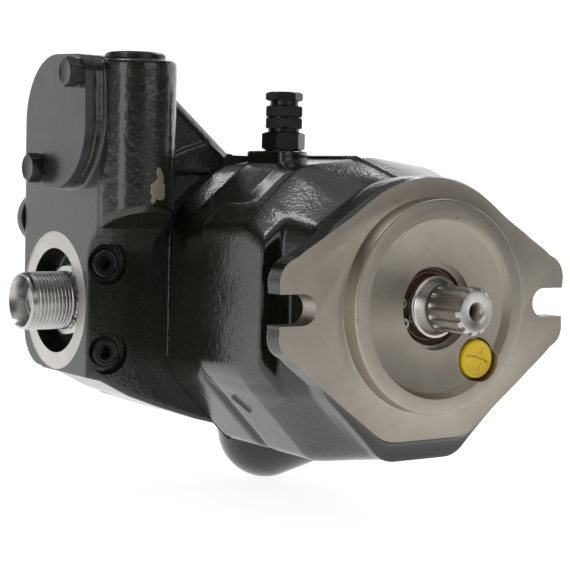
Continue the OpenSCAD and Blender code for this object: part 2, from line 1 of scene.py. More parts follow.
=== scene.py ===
import sys
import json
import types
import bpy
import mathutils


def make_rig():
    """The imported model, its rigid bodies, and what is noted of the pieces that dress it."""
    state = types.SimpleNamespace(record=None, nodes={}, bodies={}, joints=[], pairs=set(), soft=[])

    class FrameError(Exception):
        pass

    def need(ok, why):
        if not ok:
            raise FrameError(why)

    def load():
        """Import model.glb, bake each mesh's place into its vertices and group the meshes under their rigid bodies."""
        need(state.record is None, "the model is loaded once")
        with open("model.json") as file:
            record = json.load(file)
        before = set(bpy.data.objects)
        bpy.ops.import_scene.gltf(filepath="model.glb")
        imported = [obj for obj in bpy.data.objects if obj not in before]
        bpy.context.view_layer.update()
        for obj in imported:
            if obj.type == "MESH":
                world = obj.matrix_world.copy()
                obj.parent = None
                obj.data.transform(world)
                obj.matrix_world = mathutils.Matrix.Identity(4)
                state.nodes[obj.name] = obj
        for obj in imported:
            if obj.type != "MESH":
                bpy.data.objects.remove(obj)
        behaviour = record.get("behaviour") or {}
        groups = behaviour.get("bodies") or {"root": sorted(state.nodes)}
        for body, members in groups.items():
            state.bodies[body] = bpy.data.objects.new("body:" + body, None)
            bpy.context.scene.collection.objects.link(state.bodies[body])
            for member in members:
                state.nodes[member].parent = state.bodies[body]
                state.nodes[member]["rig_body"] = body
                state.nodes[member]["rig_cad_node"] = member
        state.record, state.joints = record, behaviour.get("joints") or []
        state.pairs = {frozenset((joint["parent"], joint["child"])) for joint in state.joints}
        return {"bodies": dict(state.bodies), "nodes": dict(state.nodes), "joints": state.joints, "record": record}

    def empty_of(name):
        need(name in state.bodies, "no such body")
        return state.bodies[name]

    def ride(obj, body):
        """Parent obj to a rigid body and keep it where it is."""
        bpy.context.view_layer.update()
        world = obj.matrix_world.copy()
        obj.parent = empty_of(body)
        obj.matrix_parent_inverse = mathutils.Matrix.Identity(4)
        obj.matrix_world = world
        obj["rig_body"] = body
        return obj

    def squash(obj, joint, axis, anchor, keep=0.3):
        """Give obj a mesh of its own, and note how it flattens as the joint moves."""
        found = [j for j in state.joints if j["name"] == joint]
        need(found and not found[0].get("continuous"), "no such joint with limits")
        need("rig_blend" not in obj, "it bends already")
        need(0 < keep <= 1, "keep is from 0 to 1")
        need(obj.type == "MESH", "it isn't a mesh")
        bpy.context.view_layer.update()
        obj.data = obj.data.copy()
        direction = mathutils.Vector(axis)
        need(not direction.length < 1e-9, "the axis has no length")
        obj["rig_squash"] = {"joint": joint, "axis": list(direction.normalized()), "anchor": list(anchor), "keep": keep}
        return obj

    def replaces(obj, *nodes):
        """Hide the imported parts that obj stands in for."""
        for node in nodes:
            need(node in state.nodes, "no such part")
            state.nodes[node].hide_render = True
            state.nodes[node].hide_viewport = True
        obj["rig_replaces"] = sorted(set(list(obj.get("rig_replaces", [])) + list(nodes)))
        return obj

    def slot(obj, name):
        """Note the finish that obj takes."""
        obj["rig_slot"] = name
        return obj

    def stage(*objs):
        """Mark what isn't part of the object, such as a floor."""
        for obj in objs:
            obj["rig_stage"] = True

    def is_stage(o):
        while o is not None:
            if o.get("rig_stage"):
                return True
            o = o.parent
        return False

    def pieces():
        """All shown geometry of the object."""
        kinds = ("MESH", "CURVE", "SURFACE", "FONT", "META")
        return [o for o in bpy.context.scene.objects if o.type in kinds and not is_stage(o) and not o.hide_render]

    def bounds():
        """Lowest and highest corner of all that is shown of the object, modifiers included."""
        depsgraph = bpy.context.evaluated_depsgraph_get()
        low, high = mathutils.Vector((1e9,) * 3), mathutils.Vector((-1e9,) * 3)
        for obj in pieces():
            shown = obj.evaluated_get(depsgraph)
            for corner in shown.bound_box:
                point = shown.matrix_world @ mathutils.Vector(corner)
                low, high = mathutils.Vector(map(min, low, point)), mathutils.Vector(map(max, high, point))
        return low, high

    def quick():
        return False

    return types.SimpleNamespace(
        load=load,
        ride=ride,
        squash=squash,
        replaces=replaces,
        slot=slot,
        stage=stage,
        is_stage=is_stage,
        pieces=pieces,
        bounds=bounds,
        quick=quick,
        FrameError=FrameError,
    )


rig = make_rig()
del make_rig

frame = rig.load()

import json
import math
import bpy
import bmesh
import numpy as np
from mathutils import Vector, Matrix, noise

cad_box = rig.bounds()
MM = 0.001
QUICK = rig.quick()
BODY = "case"
SCN = bpy.context.scene
COLL = SCN.collection
rng = np.random.default_rng(7)

# ------------------------------------------------------------------ signed distance fields (mm)


def smin(a, b, k):
    h = np.clip(0.5 + 0.5 * (b - a) / k, 0.0, 1.0)
    return b + (a - b) * h - k * h * (1.0 - h)


def smax(a, b, k):
    h = np.clip(0.5 - 0.5 * (b - a) / k, 0.0, 1.0)
    return b + (a - b) * h + k * h * (1.0 - h)


def edges_of(pts):
    """Half planes of a convex outline, points in either order."""
    p = np.array(pts, float)
    area = 0.5 * np.sum(p[:, 0] * np.roll(p[:, 1], -1) - np.roll(p[:, 0], -1) * p[:, 1])
    if area < 0:
        p = p[::-1]
    q = np.roll(p, -1, 0)
    d = q - p
    n = np.stack([d[:, 1], -d[:, 0]], 1)
    n /= np.linalg.norm(n, axis=1)[:, None]
    return [(n[i, 0], n[i, 1], float(n[i] @ p[i])) for i in range(len(p))]


def convex(pts, a, b, k, shift=None):
    d = None
    for i, (na, nb, c) in enumerate(edges_of(pts)):
        e = na * a + nb * b - c
        if shift is not None:
            e = e + shift(na, nb)
        d = e if d is None else smax(d, e, k)
    return d


def inset(pts, r):
    """Moves every edge of a polygon inwards by r."""
    p = np.array(pts, float)
    area = 0.5 * np.sum(p[:, 0] * np.roll(p[:, 1], -1) - np.roll(p[:, 0], -1) * p[:, 1])
    if area < 0:
        p = p[::-1]
    out = []
    n = len(p)
    for i in range(n):
        a, b, c = p[i - 1], p[i], p[(i + 1) % n]
        d1, d2 = (b - a) / np.linalg.norm(b - a), (c - b) / np.linalg.norm(c - b)
        n1, n2 = np.array([-d1[1], d1[0]]), np.array([-d2[1], d2[0]])
        A = np.array([n1, n2])
        rhs = np.array([n1 @ b + r, n2 @ b + r])
        if abs(np.linalg.det(A)) < 1e-6:
            out.append(b + n1 * r)
        else:
            out.append(np.linalg.solve(A, rhs))
    return np.array(out)


def poly_sd(pts, a, b):
    """Signed distance to a polygon of any shape, on broadcast arrays."""
    p = np.array(pts, float)
    a, b = np.broadcast_arrays(a, b)
    d = np.full(a.shape, 1e9)
    s = np.ones(a.shape)
    n = len(p)
    j = n - 1
    for i in range(n):
        ex, ey = p[j] - p[i]
        wx, wy = a - p[i][0], b - p[i][1]
        t = np.clip((wx * ex + wy * ey) / (ex * ex + ey * ey), 0, 1)
        bx, by = wx - ex * t, wy - ey * t
        d = np.minimum(d, bx * bx + by * by)
        c1, c2, c3 = b >= p[i][1], b < p[j][1], ex * wy > ey * wx
        flip = (c1 & c2 & c3) | (~c1 & ~c2 & ~c3)
        s = np.where(flip, -s, s)
        j = i
    return s * np.sqrt(d)


def round_poly(pts, a, b, r):
    return poly_sd(inset(pts, r), a, b) - r


def slab(v, lo, hi):
    return np.maximum(lo - v, v - hi)


def extrude(d2, v, lo, hi, k):
    return smax(smax(d2, lo - v, k), v - hi, k)


def circ(a, b, ca, cb, r):
    return np.sqrt((a - ca) ** 2 + (b - cb) ** 2) - r


def ball(x, y, z, c, r):
    return np.sqrt((x - c[0]) ** 2 + (y - c[1]) ** 2 + (z - c[2]) ** 2) - r


def round_cone(x, y, z, a, b, ra, rb):
    a, b = np.array(a, float), np.array(b, float)
    ba = b - a
    l2 = ba @ ba
    t = np.clip(((x - a[0]) * ba[0] + (y - a[1]) * ba[1] + (z - a[2]) * ba[2]) / l2, 0, 1)
    return np.sqrt((x - a[0] - ba[0] * t) ** 2 + (y - a[1] - ba[1] * t) ** 2 + (z - a[2] - ba[2] * t) ** 2) - (ra + (rb - ra) * t)


def step(v, lo, hi):
    t = np.clip((v - lo) / (hi - lo), 0, 1)
    return t * t * (3 - 2 * t)


BODY_OUT = [(-36, 70), (36, 70), (70, 40.5), (70, -40), (32, -80), (-32, -80), (-70, -40), (-70, 40.5)]
NECK_OUT = [(-22, 58.5), (22, 58.5), (58, 34), (58, -38), (22, -74), (-22, -74), (-58, -38), (-58, 34)]
BLOCK_OUT = [(-119, -42.5), (-119, 117.5), (-86.9, 117.5), (-31, 70), (36, 70), (70, 40.5), (70, -40), (34, -78), (-14, -78), (-50, -68.5), (-74, -60.5), (-91, -54), (-107, -45.5)]
EX = 74.5
FLANGE = [(-24, 55.5), (24, 55.5), (EX + 6, 22.4), (EX + 12, 12), (EX + 12, -13), (EX + 7.8, -21), (24, -64.5), (-24, -64.5),
          (-EX - 7.8, -21), (-EX - 12, -13), (-EX - 12, 12), (-EX - 6, 22.4)]
XR = -125.0
TX, TY, TR = -115.4, -97.0, 20.4
PX, PZ = -163.0, -7.0
FACE = -116.0
CX, CZ, CR = -144.5, 84.3, 33.3
PADY = FACE - 4.8
CB = [(-119.5, 107.5), (-160.0, 61.0)]
RPY, RPZ = -102.5, 34.5
OIL = [(-105.0, 14.0), (-104.0, -31.0)]
DRY, DRZ = 24.8, -25.6
BA, BB = (-160, 15.3, -82.6), (-133.5, 35.9, -68.7)


def cover_2d(x, z, dr=0.0):
    d = circ(x, z, CX, CZ, CR + dr)
    # straight sides between the round middle and the two bolt corners
    for bx, bz, br in ((CX + 21.5, CZ + 21.5, 11.0), (CX - 21.5, CZ - 20.5, 12.0)):
        n = 9
        for i in range(1, n + 1):
            t = i / n
            d = np.minimum(d, circ(x, z, CX + (bx - CX) * t, CZ + (bz - CZ) * t, (CR + (br - CR) * t) + dr))
    return d


def housing_sd(x, y, z):
    t = step(x, -50.5, -9.0) * 0.35 + np.clip((x + 49.5) / 38.5, 0, 1) * 0.65
    # waist: the upper slanted sides drop behind the ramp and rise again at the rear rim
    dep = 5.0 * smin(np.clip((-57.0 - x) / 23.0, 0, 1), np.clip((x + 121.0) / 10.5, 0, 1), 0.12)
    low = 2.2 * np.exp(-((x + 87.5) / 3.6) ** 2)
    az_ = np.abs(y)
    d_up = 0.655 * az_ + 0.755 * z - 76.4 + dep
    d_lo = 0.725 * az_ - 0.689 * z - 78.3 + low
    top = 0.991 * z + 0.128 * np.sqrt(az_ * az_ + 16.0) - 69.75
    db = smax(smax(d_up, top, 4.5), az_ - 70.0, 7.0)
    db = smax(smax(db, d_lo, 5.0), -80.0 - z, 5.0)
    n_up = 0.563 * az_ + 0.827 * z - 60.8
    n_lo = 0.707 * az_ - 0.707 * z - 67.9
    dn = smax(smax(smax(smax(n_up, z - 58.5, 7.0), az_ - 58.0, 7.0), n_lo, 5.0), -74.0 - z, 5.0)
    sec = db * (1 - t) + dn * t
    d = smax(sec, XR - x, 1.2 + 3.3 * step(z, -5.0, 30.0))
    d = smax(d, x + 4.0, 1.0)
    # flange plate
    f2 = smin(convex(FLANGE, y, z, 5.0), circ(y, z, 0, 0, 61.0), 3.0)
    f2 = smax(f2, -64.5 - z, 2.0)
    for s in (-1, 1):
        f2 = smin(f2, circ(y, z, s * EX, 12, 12.0), 1.0)
        f2 = smin(f2, circ(y, z, s * (EX + 1.5), -12.5, 10.5), 1.0)
    draft = 0.045 * (x + 11)
    fl = smax(smax(f2 + draft, -11.0 - x, 2.2), x - 2.0, 0.5)
    d = smin(d, fl, 6.0)
    # side pads
    pad_pts = [(60, -48), (72, -40), (75, -34), (75, 36), (72, 42), (60, 48.6)]
    ay = np.abs(y)
    pd = convex(pad_pts, ay, z, 2.0)
    pd = smax(smax(pd, -89.0 - x, 5.0), x + 31.0, 1.6)
    up = (0.655 * ay + 0.755 * z - 76.4) * (1 - t) + (0.563 * ay + 0.827 * z - 60.8) * t
    lo = (0.725 * ay - 0.689 * z - 78.3) * (1 - t) + (0.707 * ay - 0.707 * z - 67.9) * t
    pd = smax(smax(pd, up + 0.4, 4.0), lo - 0.2, 3.0)
    d = smin(d, pd, 2.2)
    # clearance behind each ear for the bolt head
    rc = smax(smax(smax(59.0 - ay, np.abs(z) - 19.0, 7.0), -31.0 - x, 2.0), x + 11.2, 2.0)
    d = smax(d, -rc, 2.2)
    # test port pad
    tp = extrude(smax(circ(x, y, -100, -24, 17.5), -31.0 - y, 4.0), z, 66.0, 72.5, 1.2)
    d = smin(d, tp, 1.2)
    # rounded underside, front end
    be = round_cone(x, y, z, BA, BB, 26.8, 25.5)
    be = smax(be, XR - x, 1.5)
    d = smin(d, be, 5.0)
    mk = round_cone(x, y, z, (-74.5, -61.6, -49.3), (-69.5, -55.0, -56.3), 0.9, 0.7)
    d = smin(d, mk, 1.0)
    # casting seam along the top
    seam = np.sqrt((y + 9.0) ** 2 + (z - (70.0 - 11.5 * np.clip((x + 49.5) / 38.5, 0, 1) - 0.1)) ** 2) - 0.8
    seam = np.maximum(seam, slab(x, -118, -13))
    d = smin(d, seam, 1.0)
    return d


def block_sd(x, y, z):
    d2 = round_poly(BLOCK_OUT, y, z, 4.0)
    d = smax(smax(d2, -200.0 - x, 6.0), x + 125.8, 2.4)
    # rounded lower rear corner of the port side
    cut = np.maximum(x + 178.0, z + 21.0)
    cut = np.maximum(cut, -circ(x, z, -178.0, -21.0, 22.0))
    cut = smax(cut, y + 72.0, 3.0)
    d = smax(d, -cut, 2.0)
    # chamfer between the gusset's slope and its front
    ch = ((x + 125.8) + (0.647 * y + 0.762 * z - 33.3)) * 0.7071 + 3.6
    d = smax(d, np.minimum(ch, -33.0 - y), 1.6)
    # above the ports the block narrows to the outline of the valve cover
    up = smin(cover_2d(x, z, 0.3), np.maximum(-144.5 - x, z - 130.0), 2.0)
    up = np.minimum(smax(up, 40.0 - z, 1.0), z - 57.0)
    d = smax(d, up, 3.0)
    # tower with its cove
    plan = smin(circ(x, y, TX + 0.6, TY + 0.8, TR - 0.8), np.maximum(slab(x, -150.0, TX), slab(y, FACE - 2, -78.0)), 1.0)
    arch = [(-131, 4), (-128.4, 8), (-127, 14), (-125.2, 20), (-121.7, 26), (-115, 32), (-107.5, 36), (-100, 39.3), (-95, 41.5), (-88, 45), (-88, 60), (-140, 60), (-140, 4)]
    under = poly_sd(arch, x, z)
    under = np.minimum(under, 52.0 - z)
    tw = smax(smax(plan, z - 117.5, 1.0), under, 3.0)
    d = smin(d, tw, 1.6)
    d = smax(d, FACE - y, 1.0)
    d = smax(d, z - 115.0, 3.5)
    # raised triangular panel on the front of the gusset
    pan = convex([(-70, 60), (-70, 69.5), (-66, 70.8), (-51.8, 79.9), (-37.5, 69), (-37.5, 60)], y, z, 1.5)
    pan = smax(smax(pan, x + 125.0, 1.2), -128.0 - x, 1.0)
    d = smin(d, pan, 1.2)
    # raised pad under the valve cover
    pd = smax(smax(cover_2d(x, z), PADY - y, 0.8), y + 108.0, 1.0)
    d = smin(d, pd, 1.6)
    # rounded underside
    be = round_cone(x, y, z, BA, BB, 26.8, 25.5)
    be = smax(be, x + 125.8, 1.5)
    d = smin(d, be, 9.0)
    # suction boss
    sb = smin(circ(x, z, PX, 0, 32.0), np.maximum(np.abs(x - PX) - 24.0, np.abs(z) - 39.0), 6.0)
    sb = smax(smax(sb, 60.0 - y, 1.0), y - 85.4, 1.2)
    d = smin(d, sb, 6.0)
    return d


def surface_nets(fn, lo, hi, h):
    xs = np.arange(lo[0], hi[0] + h, h, dtype=np.float32)
    ys = np.arange(lo[1], hi[1] + h, h, dtype=np.float32)
    zs = np.arange(lo[2], hi[2] + h, h, dtype=np.float32)
    F = np.empty((len(xs), len(ys), len(zs)), np.float32)
    Y, Z = ys[None, :, None], zs[None, None, :]
    for i0 in range(0, len(xs), 24):
        X = xs[i0:i0 + 24][:, None, None]
        F[i0:i0 + 24] = np.broadcast_to(fn(X, Y, Z), (X.shape[0], len(ys), len(zs)))
    F[np.abs(F) < 1e-6] = 1e-6
    ins = F < 0
    c = np.zeros(tuple(s - 1 for s in F.shape), np.uint8)
    for dx in (0, 1):
        for dy in (0, 1):
            for dz in (0, 1):
                c += ins[dx:dx + c.shape[0], dy:dy + c.shape[1], dz:dz + c.shape[2]]
    act = (c > 0) & (c < 8)
    idx = np.argwhere(act)
    vid = np.full(c.shape, -1, np.int32)
    vid[act] = np.arange(len(idx), dtype=np.int32)
    acc = np.zeros((len(idx), 3))
    cnt = np.zeros(len(idx))
    corners = [(a, b, e) for a in (0, 1) for b in (0, 1) for e in (0, 1)]
    for p in corners:
        for ax in range(3):
            if p[ax]:
                continue
            q = list(p)
            q[ax] = 1
            fa = F[idx[:, 0] + p[0], idx[:, 1] + p[1], idx[:, 2] + p[2]]
            fb = F[idx[:, 0] + q[0], idx[:, 1] + q[1], idx[:, 2] + q[2]]
            m = (fa < 0) != (fb < 0)
            t = fa[m] / (fa[m] - fb[m])
            pos = np.tile(np.array(p, float), (m.sum(), 1))
            pos[:, ax] = t
            acc[m] += pos
            cnt[m] += 1
    V = (idx + acc / cnt[:, None]) * h + np.array([xs[0], ys[0], zs[0]], float)
    faces = []
    for ax in range(3):
        a = [slice(None)] * 3
        b = [slice(None)] * 3
        a[ax] = slice(0, -1)
        b[ax] = slice(1, None)
        A, B = ins[tuple(a)], ins[tuple(b)]
        e = np.argwhere(A != B)
        o1, o2 = (ax + 1) % 3, (ax + 2) % 3
        ok = (e[:, o1] > 0) & (e[:, o2] > 0) & (e[:, o1] < F.shape[o1] - 1) & (e[:, o2] < F.shape[o2] - 1)
        e = e[ok]

        def cell(d1, d2):
            q = e.copy()
            q[:, o1] += d1
            q[:, o2] += d2
            return vid[q[:, 0], q[:, 1], q[:, 2]]

        quad = np.stack([cell(-1, -1), cell(0, -1), cell(0, 0), cell(-1, 0)], 1)
        solid_first = A[e[:, 0], e[:, 1], e[:, 2]]
        quad[~solid_first] = quad[~solid_first][:, ::-1]
        faces.append(quad)
    Q = np.concatenate(faces)
    # slide every vertex onto the exact surface
    for _ in range(2):
        g = np.empty_like(V)
        f0 = fn(V[:, 0], V[:, 1], V[:, 2])
        eps = 0.05
        for k in range(3):
            W = V.copy()
            W[:, k] += eps
            g[:, k] = (fn(W[:, 0], W[:, 1], W[:, 2]) - f0) / eps
        n2 = np.maximum((g * g).sum(1), 0.2)
        stepv = -(f0 / n2)[:, None] * g
        ln = np.linalg.norm(stepv, axis=1)
        stepv *= np.minimum(1.0, 0.6 * h / np.maximum(ln, 1e-9))[:, None]
        V = V + stepv
    return V, Q


# ------------------------------------------------------------------ mesh helpers (input in mm, objects in metres)


def obj_from(name, V, faces, mats=(), smooth=True):
    me = bpy.data.meshes.new(name)
    if isinstance(faces, np.ndarray):
        nf, k = faces.shape
        me.vertices.add(len(V))
        me.vertices.foreach_set("co", (np.asarray(V, np.float32) * MM).ravel())
        me.loops.add(nf * k)
        me.loops.foreach_set("vertex_index", faces.astype(np.int32).ravel())
        me.polygons.add(nf)
        me.polygons.foreach_set("loop_start", np.arange(0, nf * k, k, dtype=np.int32))
        me.update(calc_edges=True)
        me.validate()
    else:
        me.from_pydata([tuple(c * MM for c in v) for v in V], [], [list(f) for f in faces])
        me.update()
    o = bpy.data.objects.new(name, me)
    COLL.objects.link(o)
    for m in mats:
        me.materials.append(m)
    if smooth:
        me.polygons.foreach_set("use_smooth", np.ones(len(me.polygons), bool))
    return o


def axis_pt(axis, a, u, v):
    """(a along the axis, u, v across it): X -> (a, u, v), Y -> (u, a, v), Z -> (u, v, a)."""
    return (a, u, v) if axis == "X" else (u, a, v) if axis == "Y" else (u, v, a)


def fix_normals(o):
    bm = bmesh.new()
    bm.from_mesh(o.data)
    bmesh.ops.recalc_face_normals(bm, faces=bm.faces)
    bm.to_mesh(o.data)
    bm.free()
    return o


def lathe(name, prof, axis, c=(0.0, 0.0), n=96, mats=(), mat_ix=None, closed=True, smooth=True):
    """prof: list of (a, r). Turned about the axis through c. A closed profile makes a ring; r=0 ends make a solid."""
    V, F, M = [], [], []
    rings = []
    for a, r in prof:
        if r < 1e-6:
            rings.append([len(V)])
            V.append(axis_pt(axis, a, c[0], c[1]))
        else:
            rings.append(list(range(len(V), len(V) + n)))
            for i in range(n):
                t = 2 * math.pi * i / n
                V.append(axis_pt(axis, a, c[0] + r * math.cos(t), c[1] + r * math.sin(t)))
    m = len(prof)
    for j in range(m if closed else m - 1):
        A, B = rings[j], rings[(j + 1) % m]
        k = mat_ix[j] if mat_ix else 0
        if len(A) == 1 and len(B) == 1:
            continue
        for i in range(n):
            i2 = (i + 1) % n
            if len(A) == 1:
                F.append((A[0], B[i], B[i2]))
            elif len(B) == 1:
                F.append((A[i], B[0], A[i2]))
            else:
                F.append((A[i], B[i], B[i2], A[i2]))
            M.append(k)
    o = obj_from(name, V, F, mats, smooth)
    for p, k in zip(o.data.polygons, M):
        p.material_index = k
    return fix_normals(o)


def prism(name, pts, axis, a0, a1, mats=(), mi=0):
    n = len(pts)
    V = [axis_pt(axis, a0, u, v) for u, v in pts] + [axis_pt(axis, a1, u, v) for u, v in pts]
    F = [tuple(range(n)), tuple(range(2 * n - 1, n - 1, -1))]
    F += [(i, (i + 1) % n, n + (i + 1) % n, n + i) for i in range(n)]
    o = obj_from(name, V, F, mats, False)
    for p in o.data.polygons:
        p.material_index = mi
    return fix_normals(o)


def cyl(axis, a0, a1, r, u=0.0, v=0.0, n=96, mats=(), mi=0, r1=None):
    pts0 = [(u + r * math.cos(2 * math.pi * i / n), v + r * math.sin(2 * math.pi * i / n)) for i in range(n)]
    rr = r if r1 is None else r1
    pts1 = [(u + rr * math.cos(2 * math.pi * i / n), v + rr * math.sin(2 * math.pi * i / n)) for i in range(n)]
    V = [axis_pt(axis, a0, p, q) for p, q in pts0] + [axis_pt(axis, a1, p, q) for p, q in pts1]
    F = [tuple(range(n)), tuple(range(2 * n - 1, n - 1, -1))] + [(i, (i + 1) % n, n + (i + 1) % n, n + i) for i in range(n)]
    o = obj_from("cut", V, F, mats, False)
    for p in o.data.polygons:
        p.material_index = mi
    return fix_normals(o)


def boxo(a, b, mats=(), mi=0):
    return prism("cut", [(a[0], a[1]), (b[0], a[1]), (b[0], b[1]), (a[0], b[1])], "Z", a[2], b[2], mats, mi)


def hexo(axis, a0, a1, rc, u, v, rot=0.0, mats=(), mi=0):
    pts = [(u + rc * math.cos(math.radians(60 * i + rot)), v + rc * math.sin(math.radians(60 * i + rot))) for i in range(6)]
    return prism("cut", pts, axis, a0, a1, mats, mi)


def apply_mods(o):
    dg = bpy.context.evaluated_depsgraph_get()
    me = bpy.data.meshes.new_from_object(o.evaluated_get(dg), preserve_all_data_layers=True, depsgraph=dg)
    old = o.data
    o.modifiers.clear()
    o.data = me
    me.name = o.name
    bpy.data.meshes.remove(old)
    return o


def boolean(o, others, op="DIFFERENCE", solver="MANIFOLD"):
    """One fast boolean; several cutters are first merged with each other."""
    if not isinstance(others, (list, tuple)):
        others = [others]
    others = list(others)
    base = others[0]
    for q in others[1:]:
        m = base.modifiers.new("b", "BOOLEAN")
        m.operation = "UNION"
        m.solver = solver
        m.object = q
    if base.modifiers:
        bpy.context.view_layer.update()
        apply_mods(base)
    m = o.modifiers.new("b", "BOOLEAN")
    m.operation = op
    m.solver = solver
    m.object = base
    bpy.context.view_layer.update()
    apply_mods(o)
    for q in others:
        bpy.data.objects.remove(q)
    return o


def sharp(o, deg=32.0):
    me = o.data
    if o.get("bevelled"):
        return o
    me.polygons.foreach_set("use_smooth", np.ones(len(me.polygons), bool))
    me.set_sharp_from_angle(angle=math.radians(deg))
    return o


def bevel(o, w, seg=2, deg=35.0, apply=True):
    o.data.polygons.foreach_set("use_smooth", np.ones(len(o.data.polygons), bool))
    m = o.modifiers.new("bev", "BEVEL")
    m.width = w * MM
    m.segments = seg
    m.limit_method = "ANGLE"
    m.angle_limit = math.radians(deg)
    m.harden_normals = True
    o["bevelled"] = 1
    if apply:
        bpy.context.view_layer.update()
        apply_mods(o)
    return o


def join(objs, name):
    bm = bmesh.new()
    mats = []
    for o in objs:
        off = []
        for s in o.data.materials:
            if s not in mats:
                mats.append(s)
            off.append(mats.index(s))
        me = o.data.copy()
        for p in me.polygons:
            p.material_index = off[p.material_index] if off else 0
        me.transform(o.matrix_world)
        bm.from_mesh(me)
        bpy.data.meshes.remove(me)
    me = bpy.data.meshes.new(name)
    bm.to_mesh(me)
    bm.free()
    for s in mats:
        me.materials.append(s)
    for o in objs:
        bpy.data.objects.remove(o)
    o = bpy.data.objects.new(name, me)
    COLL.objects.link(o)
    return o


def place(o, name, body, node=None, slot=None):
    o.name = name
    o.data.name = name
    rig.ride(o, body)
    if node:
        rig.replaces(o, *([node] if isinstance(node, str) else node))
    if slot:
        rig.slot(o, slot)
    return o


# ------------------------------------------------------------------ materials


def new_mat(name):
    m = bpy.data.materials.new(name)
    m.use_nodes = True
    nt = m.node_tree
    for n in list(nt.nodes):
        if n.type not in ("BSDF_PRINCIPLED", "OUTPUT_MATERIAL"):
            nt.nodes.remove(n)
    return m, nt, nt.nodes["Principled BSDF"]


class G:
    """Short node-graph writer."""

    def __init__(self, nt):
        self.nt = nt
        self.co = nt.nodes.new("ShaderNodeTexCoord")

    def node(self, kind, **kw):
        n = self.nt.nodes.new(kind)
        for k, v in kw.items():
            setattr(n, k, v)
        return n

    def link(self, a, b):
        self.nt.links.new(a, b)

    def mapping(self, scale=(1, 1, 1), loc=(0, 0, 0), rot=(0, 0, 0)):
        m = self.node("ShaderNodeMapping")
        m.inputs["Scale"].default_value = scale
        m.inputs["Location"].default_value = loc
        m.inputs["Rotation"].default_value = rot
        self.link(self.co.outputs["Object"], m.inputs["Vector"])
        return m.outputs["Vector"]

    def noise(self, scale, detail=3.0, rough=0.55, vec=None, dist=0.0):
        n = self.node("ShaderNodeTexNoise")
        n.inputs["Scale"].default_value = scale
        n.inputs["Detail"].default_value = detail
        n.inputs["Roughness"].default_value = rough
        n.inputs["Distortion"].default_value = dist
        self.link(vec if vec is not None else self.co.outputs["Object"], n.inputs["Vector"])
        return n.outputs["Fac"]

    def voronoi(self, scale, feature="F1", vec=None, smooth=None):
        n = self.node("ShaderNodeTexVoronoi", feature=feature)
        n.inputs["Scale"].default_value = scale
        self.link(vec if vec is not None else self.co.outputs["Object"], n.inputs["Vector"])
        return n.outputs["Distance"]

    def ramp(self, fac, stops, interp="LINEAR"):
        r = self.node("ShaderNodeValToRGB")
        r.color_ramp.interpolation = interp
        els = r.color_ramp.elements
        while len(els) < len(stops):
            els.new(0.5)
        for e, (p, c) in zip(els, stops):
            e.position = p
            e.color = (c, c, c, 1) if isinstance(c, (int, float)) else (*c, 1)
        self.link(fac, r.inputs["Fac"])
        return r.outputs["Color"]

    def math(self, op, a, b=None, clamp=False):
        m = self.node("ShaderNodeMath", operation=op, use_clamp=clamp)
        for i, v in enumerate((a, b)):
            if v is None:
                continue
            if isinstance(v, (int, float)):
                m.inputs[i].default_value = v
            else:
                self.link(v, m.inputs[i])
        return m.outputs[0]

    def mixrgb(self, fac, a, b, mode="MIX"):
        m = self.node("ShaderNodeMix", data_type="RGBA", blend_type=mode)
        for sock, v in ((m.inputs[0], fac), (m.inputs[6], a), (m.inputs[7], b)):
            if isinstance(v, (int, float)):
                sock.default_value = v
            elif isinstance(v, tuple):
                sock.default_value = (*v, 1)
            else:
                self.link(v, sock)
        return m.outputs[2]

    def bump(self, height, dist, strength=1.0, normal=None):
        b = self.node("ShaderNodeBump")
        b.inputs["Strength"].default_value = strength
        b.inputs["Distance"].default_value = dist
        self.link(height, b.inputs["Height"])
        if normal is not None:
            self.link(normal, b.inputs["Normal"])
        return b.outputs["Normal"]

    def sep(self):
        s = self.node("ShaderNodeSeparateXYZ")
        self.link(self.co.outputs["Object"], s.inputs[0])
        return s.outputs

    def attr(self, name):
        a = self.node("ShaderNodeAttribute", attribute_name=name)
        return a.outputs["Fac"]

    def pointiness(self):
        return self.node("ShaderNodeNewGeometry").outputs["Pointiness"]


def paint_mat(name, base=(0.012, 0.013, 0.014), rough=0.3, cast=1.0, satin=(0.045, 0.046, 0.05), coat=0.6):
    m, nt, b = new_mat(name)
    g = G(nt)
    n1 = g.noise(320, 4, 0.6)
    n2 = g.noise(95, 3, 0.55)
    n3 = g.noise(28, 3, 0.5)
    flat = g.attr("flat") if cast < 0 else None
    col = g.mixrgb(g.ramp(n3, [(0.35, 0.0), (0.7, 1.0)]), base, tuple(c * 1.7 + 0.002 for c in base))
    # dusty film that collects in hollows
    pt = g.pointiness()
    hollow = g.ramp(pt, [(0.42, 1.0), (0.495, 0.0)])
    col = g.mixrgb(g.math("MULTIPLY", hollow, 0.18), col, (0.05, 0.048, 0.042))
    r = g.math("ADD", g.math("MULTIPLY", n2, 0.22), rough - 0.11)
    r = g.math("ADD", r, g.math("MULTIPLY", n1, 0.06))
    h = g.math("ADD", g.math("MULTIPLY", n1, 0.35), n2)
    amp = abs(cast)
    nrm = g.bump(h, 0.00035 * amp, 0.9)
    nrm = g.bump(g.noise(700, 2, 0.5), 0.00004 * max(amp, 0.3), 0.8, nrm)
    g.link(col, b.inputs["Base Color"])
    g.link(r, b.inputs["Roughness"])
    g.link(nrm, b.inputs["Normal"])
    b.inputs["Specular IOR Level"].default_value = 0.55
    b.inputs["Coat Weight"].default_value = coat
    b.inputs["Coat Roughness"].default_value = 0.16
    nrm2 = g.bump(h, 0.0002 * amp, 0.7)
    g.link(nrm2, b.inputs["Coat Normal"])
    return m


